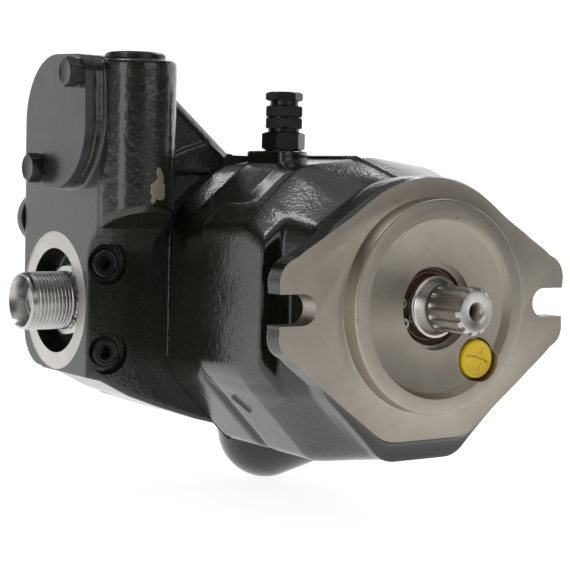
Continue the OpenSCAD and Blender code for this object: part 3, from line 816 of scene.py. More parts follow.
def casting_mat(name):
    """Gloss black paint over the casting; attribute 'flat' is 1 where the surface was machined before painting."""
    m, nt, b = new_mat(name)
    g = G(nt)
    flat = g.attr("flat")
    n0 = g.noise(2600, 2, 0.5)
    n1 = g.noise(1000, 3, 0.6)
    n2 = g.noise(380, 3, 0.55, dist=0.3)
    n3 = g.noise(24, 3, 0.5)
    cells = g.voronoi(620, "SMOOTH_F1")
    base = (0.0060, 0.0072, 0.0030)
    col = g.mixrgb(g.ramp(n3, [(0.35, 0.0), (0.7, 1.0)]), base, (0.0120, 0.0128, 0.0064))
    pt = g.pointiness()
    hollow = g.ramp(pt, [(0.44, 1.0), (0.497, 0.0)])
    col = g.mixrgb(g.math("MULTIPLY", hollow, 0.22), col, (0.06, 0.057, 0.05))
    # paint chips: tiny pale specks
    sp = g.ramp(g.noise(520, 2, 0.5), [(0.765, 0.0), (0.785, 1.0)])
    col = g.mixrgb(g.math("MULTIPLY", sp, 0.35), col, (0.16, 0.15, 0.14))
    col = g.mixrgb(flat, col, (0.024, 0.0245, 0.0275))
    g.link(col, b.inputs["Base Color"])
    r = g.math("ADD", g.math("MULTIPLY", n2, 0.16), 0.12)
    r = g.math("ADD", r, g.math("MULTIPLY", n3, 0.08))
    r = g.math("ADD", r, g.math("MULTIPLY", flat, 0.16), clamp=True)
    g.link(r, b.inputs["Roughness"])
    rough_amp = g.math("SUBTRACT", 1.0, g.math("MULTIPLY", flat, 0.93))
    h = g.math("ADD", g.math("MULTIPLY", n1, 0.45), g.math("MULTIPLY", cells, 0.9))
    h = g.math("ADD", h, n2)
    h = g.math("MULTIPLY", h, rough_amp)
    nrm = g.bump(h, 0.00011, 0.8)
    nrm = g.bump(n0, 0.000006, 0.7, nrm)
    g.link(nrm, b.inputs["Normal"])
    b.inputs["Specular IOR Level"].default_value = 0.55
    b.inputs["Coat Weight"].default_value = 0.6
    b.inputs["Coat Roughness"].default_value = 0.10
    nrm2 = g.bump(h, 0.00007, 0.8)
    g.link(nrm2, b.inputs["Coat Normal"])
    return m


def turned_mat(name, color, rough=0.32, axis="X", c=(0.0, 0.0), pitch=900.0, bump=0.000012, dirt=0.5, flatface=False):
    """Machined metal with fine turning marks about an axis, stains and small pits."""
    m, nt, b = new_mat(name)
    g = G(nt)
    s = g.sep()
    ix = {"X": (1, 2, 0), "Y": (0, 2, 1), "Z": (0, 1, 2)}[axis]
    du = g.math("SUBTRACT", s[ix[0]], c[0] * MM)
    dv = g.math("SUBTRACT", s[ix[1]], c[1] * MM)
    rad = g.math("SQRT", g.math("ADD", g.math("MULTIPLY", du, du), g.math("MULTIPLY", dv, dv)))
    comb = g.node("ShaderNodeCombineXYZ")
    g.link(rad, comb.inputs[0])
    g.link(s[ix[2]], comb.inputs[1])
    rings = g.noise(pitch, 3, 0.7, comb.outputs[0])
    rings2 = g.noise(pitch * 3.1, 2, 0.6, comb.outputs[0])
    n1 = g.noise(60, 4, 0.6)
    n2 = g.noise(240, 3, 0.55)
    dark = tuple(v * 0.88 for v in color)
    col = g.mixrgb(g.ramp(n1, [(0.38, 0.0), (0.68, 1.0)]), color, dark)
    col = g.mixrgb(g.math("MULTIPLY", rings, 0.35), col, tuple(min(1, v * 1.18) for v in color))
    spots = g.ramp(g.noise(170, 2, 0.5), [(0.73, 0.0), (0.78, 1.0)])
    col = g.mixrgb(g.math("MULTIPLY", spots, dirt), col, (0.10, 0.075, 0.05))
    g.link(col, b.inputs["Base Color"])
    b.inputs["Metallic"].default_value = 1.0
    r = g.math("ADD", g.math("MULTIPLY", n2, 0.16), rough - 0.08)
    r = g.math("ADD", r, g.math("MULTIPLY", rings, 0.10))
    r = g.math("ADD", r, g.math("MULTIPLY", spots, 0.2), clamp=True)
    g.link(r, b.inputs["Roughness"])
    nrm = g.bump(g.math("ADD", rings, g.math("MULTIPLY", rings2, 0.4)), bump, 1.0)
    nrm = g.bump(n2, 0.000012, 0.6, nrm)
    g.link(nrm, b.inputs["Normal"])
    b.inputs["Anisotropic"].default_value = 0.25
    tan = g.node("ShaderNodeTangent", direction_type="RADIAL", axis=axis)
    g.link(tan.outputs[0], b.inputs["Tangent"])
    return m


def metal_mat(name, color, rough=0.3, scale=1.0, dirt=0.3, bump=0.00001, metallic=1.0):
    m, nt, b = new_mat(name)
    g = G(nt)
    n1 = g.noise(70 * scale, 4, 0.6)
    n2 = g.noise(380 * scale, 3, 0.55)
    scr = g.noise(40 * scale, 2, 0.5, g.mapping((60, 3, 3)))
    col = g.mixrgb(g.ramp(n1, [(0.35, 0.0), (0.7, 1.0)]), color, tuple(v * 0.7 for v in color))
    col = g.mixrgb(g.math("MULTIPLY", g.ramp(g.pointiness(), [(0.5, 0.0), (0.56, 1.0)]), 0.35), col, tuple(min(1, v * 1.5 + 0.02) for v in color))
    sp = g.ramp(g.noise(210 * scale, 2), [(0.70, 0.0), (0.76, 1.0)])
    col = g.mixrgb(g.math("MULTIPLY", sp, dirt), col, (0.07, 0.055, 0.04))
    g.link(col, b.inputs["Base Color"])
    b.inputs["Metallic"].default_value = metallic
    r = g.math("ADD", g.math("MULTIPLY", n2, 0.18), rough - 0.09)
    r = g.math("ADD", r, g.math("MULTIPLY", scr, 0.08), clamp=True)
    g.link(r, b.inputs["Roughness"])
    nrm = g.bump(n2, bump, 0.8)
    nrm = g.bump(scr, bump * 0.6, 0.6, nrm)
    g.link(nrm, b.inputs["Normal"])
    return m


def rubber_mat(name, color, rough=0.5):
    m, nt, b = new_mat(name)
    g = G(nt)
    n1 = g.noise(90, 3)
    n2 = g.noise(900, 3)
    col = g.mixrgb(g.ramp(n1, [(0.35, 0.0), (0.7, 1.0)]), color, tuple(v * 0.55 for v in color))
    g.link(col, b.inputs["Base Color"])
    g.link(g.math("ADD", g.math("MULTIPLY", n1, 0.2), rough - 0.1), b.inputs["Roughness"])
    g.link(g.bump(n2, 0.00003, 0.8), b.inputs["Normal"])
    b.inputs["Coat Weight"].default_value = 0.25
    b.inputs["Coat Roughness"].default_value = 0.25
    return m


def plastic_mat(name, color, rough=0.3):
    m, nt, b = new_mat(name)
    g = G(nt)
    n1 = g.noise(120, 3)
    n2 = g.noise(1400, 2)
    col = g.mixrgb(g.ramp(n1, [(0.3, 0.0), (0.75, 1.0)]), color, tuple(v * 0.84 for v in color))
    # painted shade: the plug's hollows, such as the slot and the window recesses, are darkened towards 0.55 of the
    # colour
    ho = g.ramp(g.pointiness(), [(0.43, 1.0), (0.497, 0.0)])
    col = g.mixrgb(g.math("MULTIPLY", ho, 0.5), col, tuple(v * 0.55 for v in color))
    g.link(col, b.inputs["Base Color"])
    g.link(g.math("ADD", g.math("MULTIPLY", n1, 0.16), rough - 0.08), b.inputs["Roughness"])
    g.link(g.bump(n2, 0.00002, 0.7), b.inputs["Normal"])
    b.inputs["Subsurface Weight"].default_value = 0.12
    b.inputs["Subsurface Scale"].default_value = 0.002
    b.inputs["Subsurface Radius"].default_value = (1.0, 0.8, 0.2)
    b.inputs["Coat Weight"].default_value = 0.3
    return m


M_CAST = casting_mat("black_gloss_cast")
M_FACE = turned_mat("machined_iron_face", (0.450, 0.412, 0.352), 0.36, "X", (0, 0), 1300, 0.000008, 0.45)
M_PORTFACE = turned_mat("machined_port_ring", (0.70, 0.675, 0.645), 0.42, "Y", (PX, PZ), 900, 0.000010, 0.25)
M_BORE = metal_mat("machined_bore", (0.38, 0.36, 0.33), 0.34)
M_COVER = paint_mat("black_satin_cover", (0.019, 0.0195, 0.022), 0.30, 0.10, coat=0.25)
M_BOLT = metal_mat("black_oxide_bolt", (0.018, 0.019, 0.018), 0.22, 1.0, 0.10, 0.000012, 0.35)
M_FIT = metal_mat("black_oxide_fitting", (0.014, 0.015, 0.012), 0.22, 1.0, 0.08, 0.000010, 0.3)
M_STEEL = turned_mat("ground_shaft_steel", (0.66, 0.645, 0.62), 0.20, "X", (0, 0), 1500, 0.000005, 0.12)
M_SPLINE = metal_mat("spline_steel", (0.62, 0.60, 0.57), 0.26, 1.0, 0.18, 0.000008)
M_END = metal_mat("faced_steel", (0.43, 0.405, 0.37), 0.36, 1.0, 0.25, 0.000006)
M_NIP = metal_mat("turned_nipple_steel", (0.60, 0.59, 0.575), 0.24, 1.0, 0.06, 0.000003)
M_SEAL = rubber_mat("brown_elastomer", (0.135, 0.052, 0.026), 0.42)
M_SPRING = metal_mat("oiled_spring_steel", (0.16, 0.16, 0.165), 0.32)
M_GASKET = rubber_mat("dark_gasket", (0.03, 0.03, 0.03), 0.6)
M_BEAR = metal_mat("bearing_steel", (0.62, 0.61, 0.60), 0.18)
M_BRONZE = metal_mat("bearing_bronze", (0.55, 0.36, 0.17), 0.32)
M_BRASS = metal_mat("cage_brass", (0.62, 0.44, 0.18), 0.28)
M_BARREL = turned_mat("nitrided_barrel", (0.36, 0.35, 0.34), 0.34, "X", (0, 0), 800, 0.000008, 0.2)
M_YEL = plastic_mat("yellow_plastic", (0.95, 0.66, 0.012), 0.26)

# ------------------------------------------------------------------ castings

H = 1.5 if QUICK else 0.85


def vnoise(P, scale, seed):
    """Smooth value noise on points P (mm), about -1..1."""
    r = np.random.default_rng(seed)
    T = r.random((64, 64, 64)).astype(np.float32)
    q = P / scale
    i = np.floor(q).astype(int)
    f = q - i
    f = f * f * (3 - 2 * f)
    out = np.zeros(len(P))
    for dx in (0, 1):
        wx = f[:, 0] if dx else 1 - f[:, 0]
        for dy in (0, 1):
            wy = f[:, 1] if dy else 1 - f[:, 1]
            for dz in (0, 1):
                wz = f[:, 2] if dz else 1 - f[:, 2]
                out += wx * wy * wz * T[(i[:, 0] + dx) % 64, (i[:, 1] + dy) % 64, (i[:, 2] + dz) % 64]
    return out * 2 - 1


def vertex_normals(V, Q):
    n = np.cross(V[Q[:, 2]] - V[Q[:, 0]], V[Q[:, 3]] - V[Q[:, 1]])
    N = np.zeros_like(V)
    for k in range(4):
        np.add.at(N, Q[:, k], n)
    return N / np.maximum(np.linalg.norm(N, axis=1), 1e-9)[:, None]


def casting(name, fn, lo, hi, flat_fn, amp_fn, seed):
    V, Q = surface_nets(fn, lo, hi, H)
    N = vertex_normals(V, Q)
    flat = flat_fn(V, N)
    amp = amp_fn(V, N) * (1 - flat)
    d = 0.5 * vnoise(V, 2.1, seed) + 0.5 * vnoise(V, 4.6, seed + 1) + 0.6 * vnoise(V, 17.0, seed + 2)
    # shallow pits
    pits = np.clip(vnoise(V, 3.0, seed + 3) - 0.62, 0, 1) * 1.3
    V = V + N * ((d * 0.055 - pits * 0.2) * amp)[:, None]
    o = obj_from(name, V, Q, (M_CAST, M_FACE, M_BORE))
    a = o.data.attributes.new("flat", "FLOAT", "POINT")
    a.data.foreach_set("value", flat.astype(np.float32))
    return o


def h_flat(V, N):
    return np.zeros(len(V))


def h_amp(V, N):
    a = np.full(len(V), 1.0)
    a *= np.where(V[:, 0] > -12.0, 0.45, 1.0)
    # the front slopes are smoother than the rear waist
    a *= np.where((V[:, 0] > -50) & (V[:, 2] > 0), 0.55, 1.0)
    # close to a joint face the skin is cut square
    a *= np.clip((V[:, 0] + 125.0) / 1.5, 0.15, 1)
    return a


def b_flat(V, N):
    f = ((V[:, 1] < FACE + 0.35) & (N[:, 1] < -0.93) & (V[:, 0] < -115.0)).astype(float)
    f = np.maximum(f, ((V[:, 1] > 84.6) & (N[:, 1] > 0.93)).astype(float))
    return f


def b_amp(V, N):
    a = np.full(len(V), 0.8)
    a *= np.where((V[:, 0] > -114) & (V[:, 2] > 44) & (V[:, 1] < -76), 2.6, 1.0)
    a *= np.where((V[:, 1] < FACE - 0.3), 0.2, 1.0)
    return a


hs = casting("housing_casting", housing_sd, (-127.5, -90, -101), (3.5, 90, 76), h_flat, h_amp, 11)
bl = casting("port_block_casting", block_sd, (-207, -123, -112.5), (-92, 88.5, 118), b_flat, b_amp, 31)

HM = (M_CAST, M_FACE, M_BORE)
PI2 = 2 * math.pi


def cut_rows(rows):
    out = []
    for r in rows:
        kind, args, mi = r
        if kind == "x":
            x0, x1, rad, y, z = args
            out.append(cyl("X", x0, x1, rad, y, z, 128 if rad > 15 else 64, HM, mi))
        elif kind == "y":
            y0, y1, rad, x, z = args
            out.append(cyl("Y", y0, y1, rad, x, z, 128 if rad > 15 else 64, HM, mi))
        elif kind == "z":
            z0, z1, rad, x, y = args
            out.append(cyl("Z", z0, z1, rad, x, y, 96, HM, mi))
        elif kind == "b":
            out.append(boxo(args[0], args[1], HM, mi))
    return out


# the front is faced off square, then the spigot is added and everything is bored
boolean(hs, cut_rows([("b", ((0.0, -120, -120), (30, 120, 100)), 1), ("b", ((-140, -120, -120), (XR, 120, 100)), 0)]))
spig = lathe("spigot", [(-6, 30), (8.55, 30), (9.3, 30), (9.5, 43.4), (9.5, 49.7), (9.32, 50.2), (8.9, 50.55), (8.4, 50.8), (0.9, 50.8), (0.35, 50.95), (0.0, 51.5), (-6, 51.5)], "X", (0, 0), 256, HM, [1] * 12)
plug0 = cyl("X", -6.5, 9.2, 30.5, 0, 0, 128, HM, 1)
boolean(hs, [spig, plug0], "UNION")
rows = [
    ("x", (-7.5, 6, 20.5, 0, 0), 2), ("x", (0, 1.7, 21.7, 0, 0), 2), ("x", (-25, -7.5, 31, 0, 0), 2), ("x", (-48, -24, 20.5, 0, 0), 2),
    ("x", (-127, -46, 50, 0, 0), 0), ("y", (-42.5, 42.5, 32, -60, 0), 2),
    ("b", ((-47, -46.5, 22), (-31, 46.5, 48)), 0), ("b", ((-47, -46.5, -48), (-31, 46.5, -22)), 0), ("b", ((-47, -46.5, -24), (-42.5, 46.5, 24)), 0),
    ("b", ((-72, -11, 44), (-44, 11, 62.8)), 0), ("b", ((-45, -11, 44), (-35.5, 11, 61.6)), 0), ("b", ((-36, -11, 44), (-27, 11, 59)), 0),
    ("b", ((-80, -11, -71.5), (-42, 11, -44)), 0),
    ("x", (-112, -77, 8.05, 0, -60), 2), ("x", (-115, -52, 7.6, 0, 56), 2),
    ("z", (42, 80, 6.55, -97, -20), 2),
    ("x", (-9, 2, 8, DRY, DRZ), 2),
]
for y in (-50, 50):
    for z in (-39, 39):
        rows.append(("x", (-127, XR + 24, 5.1, y, z), 2))
cuts = cut_rows(rows)
# dished face of the spigot with its sloped wall, and the drain counterbore
cuts.append(lathe("cut", [(5.5, 0), (5.5, 40.6), (5.7, 41.0), (9.15, 43.0), (9.5, 43.25), (11, 44.2), (11, 0)], "X", (0, 0), 256, HM, [1] * 7))
cuts.append(lathe("cut", [(1.5, 0), (1.5, 10.2), (1.9, 10.6), (8.9, 10.6), (12, 11.0), (12, 0)], "X", (DRY, DRZ), 96, HM, [1] * 6))
# mounting slots
for s in (-1, 1):
    pts = []
    for i in range(25):
        t = math.pi / 2 + math.pi * i / 24
        pts.append((s * (73 + 7.15 * math.cos(t)), 7.15 * math.sin(t)))
    pts += [(s * 120, -7.15), (s * 120, 7.15)]
    cuts.append(prism("cut", pts, "X", -14, 3, HM, 1))
boolean(hs, cuts)
sharp(hs, 34)

# ------------------------------------------------------------------ port block cuts
rows = [
    ("z", (51.95, 120, 7.05, TX, TY), 2), ("z", (104, 120, 10.5, TX, TY), 2),
    ("y", (PADY - 2, -94, 18, CX, CZ), 2),
    ("x", (-160, -115, 2.5, TY, 80), 2),
    ("y", (-103, -84, 13.5, PX, PZ), 2), ("y", (-86, -34, 9.5, PX, PZ), 2), ("y", (-40, -24, 9.5, PX, PZ), 2),
    ("b", ((-160, -33, -13), (-151, -25, 13)), 2), ("b", ((-160, 25, -13), (-151, 33, 13)), 2),
    ("y", (24, 88, 16, PX, 0), 2),
    ("x", (-142, -124, 22, 0, 0), 2), ("x", (-146, -141, 13, 0, 0), 2), ("x", (-131, -124, 2.02, 0, 38), 2),
    ("x", (-205, -190, 10, RPY, RPZ), 2), ("z", (115, 120, 15.1, TX, TY), 0),
]
for a in (-24, 0, 24):
    for s in (-1, 1):
        t = math.radians(a)
        rows.append(("x", (-160, -124, 4.2, s * 31 * math.cos(t), s * 31 * math.sin(t)), 2))
for x in (-1, 1):
    for z in (-1, 1):
        rows.append(("y", (64, 88, 4.25, PX + x * 15.1, z * 29.35), 2))
for b in CB:
    rows.append(("y", (PADY - 2, FACE + 5.5, 4, b[0], b[1]), 2))
for y in (-50, 50):
    for z in (-39, 39):
        rows.append(("x", (-202, -124, 6.5, y, z), 2))
        rows.append(("x", (-202, -187, 9.5, y, z), 0))
cuts = cut_rows(rows)
BM = (M_CAST, M_PORTFACE, M_BORE)
bl.data.materials.clear()
for mm in BM:
    bl.data.materials.append(mm)
boolean(bl, cuts)
boolean(bl, cut_rows([("b", ((-125.8, -78, -130), (-100, 120, 43.5)), 0), ("b", ((-125.8, -121, -130), (-100, -77, 6)), 0)]))
# spot-faced ring of bare metal around the counterbore, machined 0.35 mm below the painted face
ring = lathe("cut", [(FACE + 0.35, 0), (FACE + 0.35, 35.6), (FACE - 3, 35.7), (FACE - 3, 0)], "Y", (PX, PZ), 192, BM, [1] * 4)
cb = lathe("cut", [(-102, 0), (-102, 26.2), (-102.6, 27), (FACE - 0.1, 27), (FACE - 3, 28.8), (FACE - 3, 0)], "Y", (PX, PZ), 192, BM, [0, 0, 0, 1, 1, 1])
boolean(bl, [ring])
boolean(bl, [cb])
for p in OIL:
    c1 = lathe("cut", [(XR - 5.6, 0), (XR - 5.6, 9.9), (XR - 5.0, 10.5), (XR - 2.0, 10.5), (XR - 0.9, 11.0), (XR + 2, 11.2), (XR + 2, 0)], "X", p, 96, BM, [0] * 7)
    c2 = cyl("X", XR - 20, XR - 3, 4, p[0], p[1], 64, BM, 2)
    boolean(bl, [c1, c2])
sharp(bl, 34)

place(hs, "housing_casting", BODY, "housing", "cast_paint")
place(bl, "port_block_casting", BODY, "port_block", "cast_paint")

# ------------------------------------------------------------------ valve cover stack


def hull2d(P):
    P = sorted(set((round(a, 5), round(b, 5)) for a, b in P))

    def half(pts):
        h = []
        for p in pts:
            while len(h) > 1 and (h[-1][0] - h[-2][0]) * (p[1] - h[-2][1]) - (h[-1][1] - h[-2][1]) * (p[0] - h[-2][0]) <= 0:
                h.pop()
            h.append(p)
        return h[:-1]
    return half(P) + half(P[::-1])


def cover_outline(dr=0.0):
    P = []
    for cx, cz, r, n in ((CX, CZ, CR, 144), (CX + 21.5, CZ + 21.5, 11, 72), (CX - 21.5, CZ - 20.5, 12, 72)):
        P += [(cx + (r + dr) * math.cos(PI2 * i / n), cz + (r + dr) * math.sin(PI2 * i / n)) for i in range(n)]
    return hull2d(P)


cov = prism("valve_cover_plate", cover_outline(), "Y", PADY - 5.2, PADY - 1, (M_COVER,), 0)
boolean(cov, [cyl("Y", PADY - 9, PADY + 1, 4.4, b[0], b[1], 48, (M_COVER,)) for b in CB])
bevel(cov, 0.7, 3, 40)
sharp(cov, 40)
place(cov, "valve_cover_plate", BODY, "valve_cover", "cover_paint")

out = cover_outline(0.0)
gp = []
for i, (a, b_) in enumerate(out):
    k = -0.45 + 0.5 * noise.noise(Vector((a * 0.09, b_ * 0.09, 3.0)))
    L = math.hypot(a - CX, b_ - CZ)
    gp.append((a + (a - CX) / L * k, b_ + (b_ - CZ) / L * k))
gas = prism("valve_cover_gasket_sheet", gp, "Y", PADY - 1, PADY, (M_GASKET,), 0)
boolean(gas, [cyl("Y", PADY - 9, PADY + 1, 4.4, b[0], b[1], 48, (M_GASKET,)) for b in CB])
sharp(gas, 40)
place(gas, "valve_cover_gasket_sheet", BODY, "valve_cover_gasket", "gasket")


def hex_head(axis, a0, a1, rc, u, v, rot, mats, both=False, cham=0.30):
    """Hexagon with a turned chamfer on the face at a1 (and at a0 when both is set)."""
    h = hexo(axis, a0, a1, rc, u, v, rot, mats)
    s = 1 if a1 > a0 else -1
    fl = rc * 0.866
    k = (rc - fl) * 0.577 + 0.05
    prof = [(a0, 0)]
    prof += [(a0, fl * 0.985), (a0 + s * k, rc * 1.01)] if both else [(a0, rc * 1.02)]
    prof += [(a1 - s * k, rc * 1.01), (a1, fl * 0.97), (a1 - s * 0.15, fl * 0.80), (a1 - s * cham, fl * 0.74), (a1 - s * cham, 0)]
    t = lathe("cut", prof, axis, (u, v), 96, mats)
    boolean(h, [t], "INTERSECT")
    return h


bolts = []
for i, b in enumerate(CB):
    hd = hex_head("Y", PADY - 5.2 - 0.9, PADY - 12.7, 7.5, b[0], b[1], 14 + 23 * i, (M_BOLT,), cham=0.25)
    ws = lathe("cut", [(PADY - 5.2, 0), (PADY - 5.2, 6.9), (PADY - 5.9, 7.0), (PADY - 6.15, 6.7), (PADY - 6.3, 0)], "Y", b, 72, (M_BOLT,))
    sh = cyl("Y", PADY - 5.5, FACE + 5, 4, b[0], b[1], 40, (M_BOLT,))
    boolean(hd, [ws, sh], "UNION")
    bevel(hd, 0.18, 2, 30)
    bolts.append(hd)
vb = join(bolts, "valve_cover_hex_bolts")
sharp(vb, 38)
place(vb, "valve_cover_hex_bolts", BODY, "valve_cover_bolts", "black_oxide")

# ------------------------------------------------------------------ tower plug, oilway plugs, rear plug


def socket(axis, a0, a1, rc, u, v, mats, rot=0.0):
    """Hexagon socket cutter that opens at a1, with a turned lead-in."""
    h = hexo(axis, a0, a1, rc, u, v, rot, mats)
    s = 1 if a1 > a0 else -1
    lead = lathe("cut", [(a1 - s * 0.9 - s * 1.0, 0), (a1 - s * 0.9 - s * 1.0, rc * 0.82), (a1, rc * 1.09), (a1 + s * 1, rc * 1.3), (a1 + s * 1, 0)], axis, (u, v), 64, mats)
    return [h, lead]


tp = lathe("tower_screw_plug", [(104, 0), (104, 9.2), (105, 10.4), (114.6, 10.4), (115, 11), (115, 14.6), (115.35, 15), (117.3, 15), (118.1, 14.3), (118.5, 13.2), (118.5, 0)], "Z", (TX, TY), 160, (M_FIT,))
boolean(tp, socket("Z", 109.0, 118.5, 5.0, TX, TY, (M_FIT,), 12))
sharp(tp, 34)
place(tp, "tower_screw_plug", BODY, "tower_plug", "black_oxide")

pl = []
for i, p in enumerate(OIL):
    a = XR
    q = lathe("cut", [(a - 16, 0), (a - 16, 3.4), (a - 15.4, 4), (a - 5.6, 4), (a - 5.6, 7.2), (a - 5.3, 7.5), (a - 3.9, 7.5), (a - 3.3, 7.1), (a - 3.0, 6.5), (a - 2.9, 5.9), (a - 3.3, 5.5), (a - 3.35, 0)], "X", p, 96, (M_FIT,))
    boolean(q, socket("X", a - 9, a - 3.35, 3.46, p[0], p[1], (M_FIT,), 10 + 17 * i))
    pl.append(q)
pl = join(pl, "oilway_socket_plugs")
sharp(pl, 34)
place(pl, "oilway_socket_plugs", BODY, "oilway_plugs", "black_oxide")

rp = lathe("rear_socket_plug", [(-192, 0), (-192, 9.4), (-193, 9.95), (-200, 9.95), (-200, 14.6), (-200.3, 15.0), (-205.6, 15.0), (-207.4, 14.2), (-208.6, 12.3), (-209, 9.6), (-209, 0)], "X", (RPY, RPZ), 128, (M_FIT,))
boolean(rp, socket("X", -203, -209, 5.8, RPY, RPZ, (M_FIT,), 8))
sharp(rp, 30)
place(rp, "rear_socket_plug", BODY, "rear_plug", "black_oxide")

# ------------------------------------------------------------------ test port

TPX, TPY = -97.0, -20.0
ad = hex_head("Z", 73.1, 82, 11.3, TPX, TPY, 8, (M_FIT,), both=True, cham=0.0)
fl_ = lathe("cut", [(60, 0), (60, 5.7), (60.8, 6.45), (72.3, 6.45), (72.5, 9.4), (73.4, 9.5), (73.5, 0)], "Z", (TPX, TPY), 96, (M_FIT,))
nk = lathe("cut", [(81.5, 0), (81.5, 8.6), (82.0, 8.5), (82.4, 8), (84, 8), (84, 0)], "Z", (TPX, TPY), 96, (M_FIT,))
boolean(ad, [fl_, nk], "UNION")
boolean(ad, [cyl("Z", 59, 85, 3, TPX, TPY, 48, (M_FIT,))])
bevel(ad, 0.15, 2, 32)
sharp(ad, 36)
place(ad, "test_port_adapter_body", BODY, "test_port_adapter", "black_oxide")

cp = hex_head("Z", 84.0, 95.5, 10.6, TPX, TPY, 27, (M_FIT,), both=True, cham=0.0)
nk = lathe("cut", [(95.3, 0), (95.3, 7.6), (95.8, 7.2), (98, 7.2), (98, 0)], "Z", (TPX, TPY), 96, (M_FIT,))
boolean(cp, [nk], "UNION")
gr = lathe("cut", [(88.9, 9.3), (89.3, 8.9), (89.9, 8.9), (90.3, 9.3), (90.3, 12), (88.9, 12)], "Z", (TPX, TPY), 96, (M_FIT,))
boolean(cp, [gr])
boolean(cp, [cyl("Z", 83, 99, 2, TPX, TPY, 48, (M_FIT,))])
bevel(cp, 0.15, 2, 32)
sharp(cp, 36)
place(cp, "test_port_coupling_nut", BODY, "test_port_coupling", "black_oxide")

cpv = hex_head("Z", 98, 102.5, 9.6, TPX, TPY, 2, (M_FIT,), both=True, cham=0.35)
bevel(cpv, 0.2, 2, 32)
sharp(cpv, 36)
place(cpv, "test_port_hex_cap", BODY, "test_port_cap", "black_oxide")

# ------------------------------------------------------------------ threaded outlet nipple


def threaded(name, axis, c, n, segs, inner, mats, mat_in=0):
    """Ring whose outside follows segs = list of (a, fn(theta) -> r) rows; inner = (a, r) points back to the start."""
    V, F = [], []
    rows = []
    for a, fn in segs:
        rows.append(len(V))
        for i in range(n):
            t = PI2 * i / n
            r = fn(t) if callable(fn) else fn
            V.append(axis_pt(axis, a, c[0] + r * math.cos(t), c[1] + r * math.sin(t)))
    nout = len(rows)
    for a, r in inner:
        rows.append(len(V))
        for i in range(n):
            t = PI2 * i / n
            V.append(axis_pt(axis, a, c[0] + r * math.cos(t), c[1] + r * math.sin(t)))
    m = len(rows)
    M = []
    for j in range(m):
        A, B = rows[j], rows[(j + 1) % m]
        for i in range(n):
            i2 = (i + 1) % n
            F.append((A + i, B + i, B + i2, A + i2))
            M.append(mat_in if j >= nout else 0)
    o = obj_from(name, V, F, mats)
    for p, k in zip(o.data.polygons, M):
        p.material_index = k
    return fix_normals(o)


PITCH = 2.0
R0 = 15.0
ya, yb = -134.2, -110.6
segs = [(-135.0, 13.75), (-134.85, 13.95)]
nrow = int((yb - ya) / PITCH * (14 if not QUICK else 8))


def thread_fn(y):
    env = min(1.0, max(0.0, (y - (-131.6)) / 1.2)) * min(1.0, max(0.0, (-111.2 - y) / 2.2))

    def f(t):
        p = (y / PITCH + t / PI2) % 1.0
        w = abs(2 * p - 1)
        w = min(1.0, max(0.0, (w - 0.12) / 0.74))
        top = min(R0 - 0.03, 13.95 + (y + 134.85) * 1.0)
        if y < -131.8:
            top = min(top, R0 - 0.5 + 0.0 * y)
        return top - 1.12 * env * (1 - w)
    return f


for k in range(nrow + 1):
    y = ya + (yb - ya) * k / nrow
    segs.append((y, thread_fn(y)))
segs += [(-110.4, 14.6), (-110.0, 14.6)]
inner = [(-110.0, 13.0), (-108, 9.9), (-108, 9.5), (-124.0, 9.5), (-124.0, 11.2), (-127.2, 11.2), (-134.7, 13.25), (-135.0, 13.45)]
th = threaded("nip_thread", "Y", (PX, PZ), 176, segs, inner, (M_NIP, M_NIP))
hx = hex_head("Y", -102.6, -110.0, 20.7, PX, PZ, 9, (M_NIP,), both=True, cham=0.0)
stub = lathe("cut", [(-103, 0), (-103, 13.5), (-86, 13.4), (-85, 12.4), (-85, 0)], "Y", (PX, PZ), 96, (M_NIP,))
col = lathe("cut", [(-112, 0), (-112, 13.2), (-110.6, 14.0), (-109.5, 15.8), (-109.5, 0)], "Y", (PX, PZ), 96, (M_NIP,))
boolean(hx, [stub, col], "UNION")
boolean(hx, [cyl("Y", -140, -84, 9.5, PX, PZ, 96, (M_NIP,))])
bevel(hx, 0.2, 2, 32)
nip = join([th, hx], "threaded_outlet_nipple")
sharp(nip, 42)
place(nip, "threaded_outlet_nipple", BODY, "outlet_nipple", "plated_steel")

# ------------------------------------------------------------------ drive shaft, seal, snap ring, drain plug

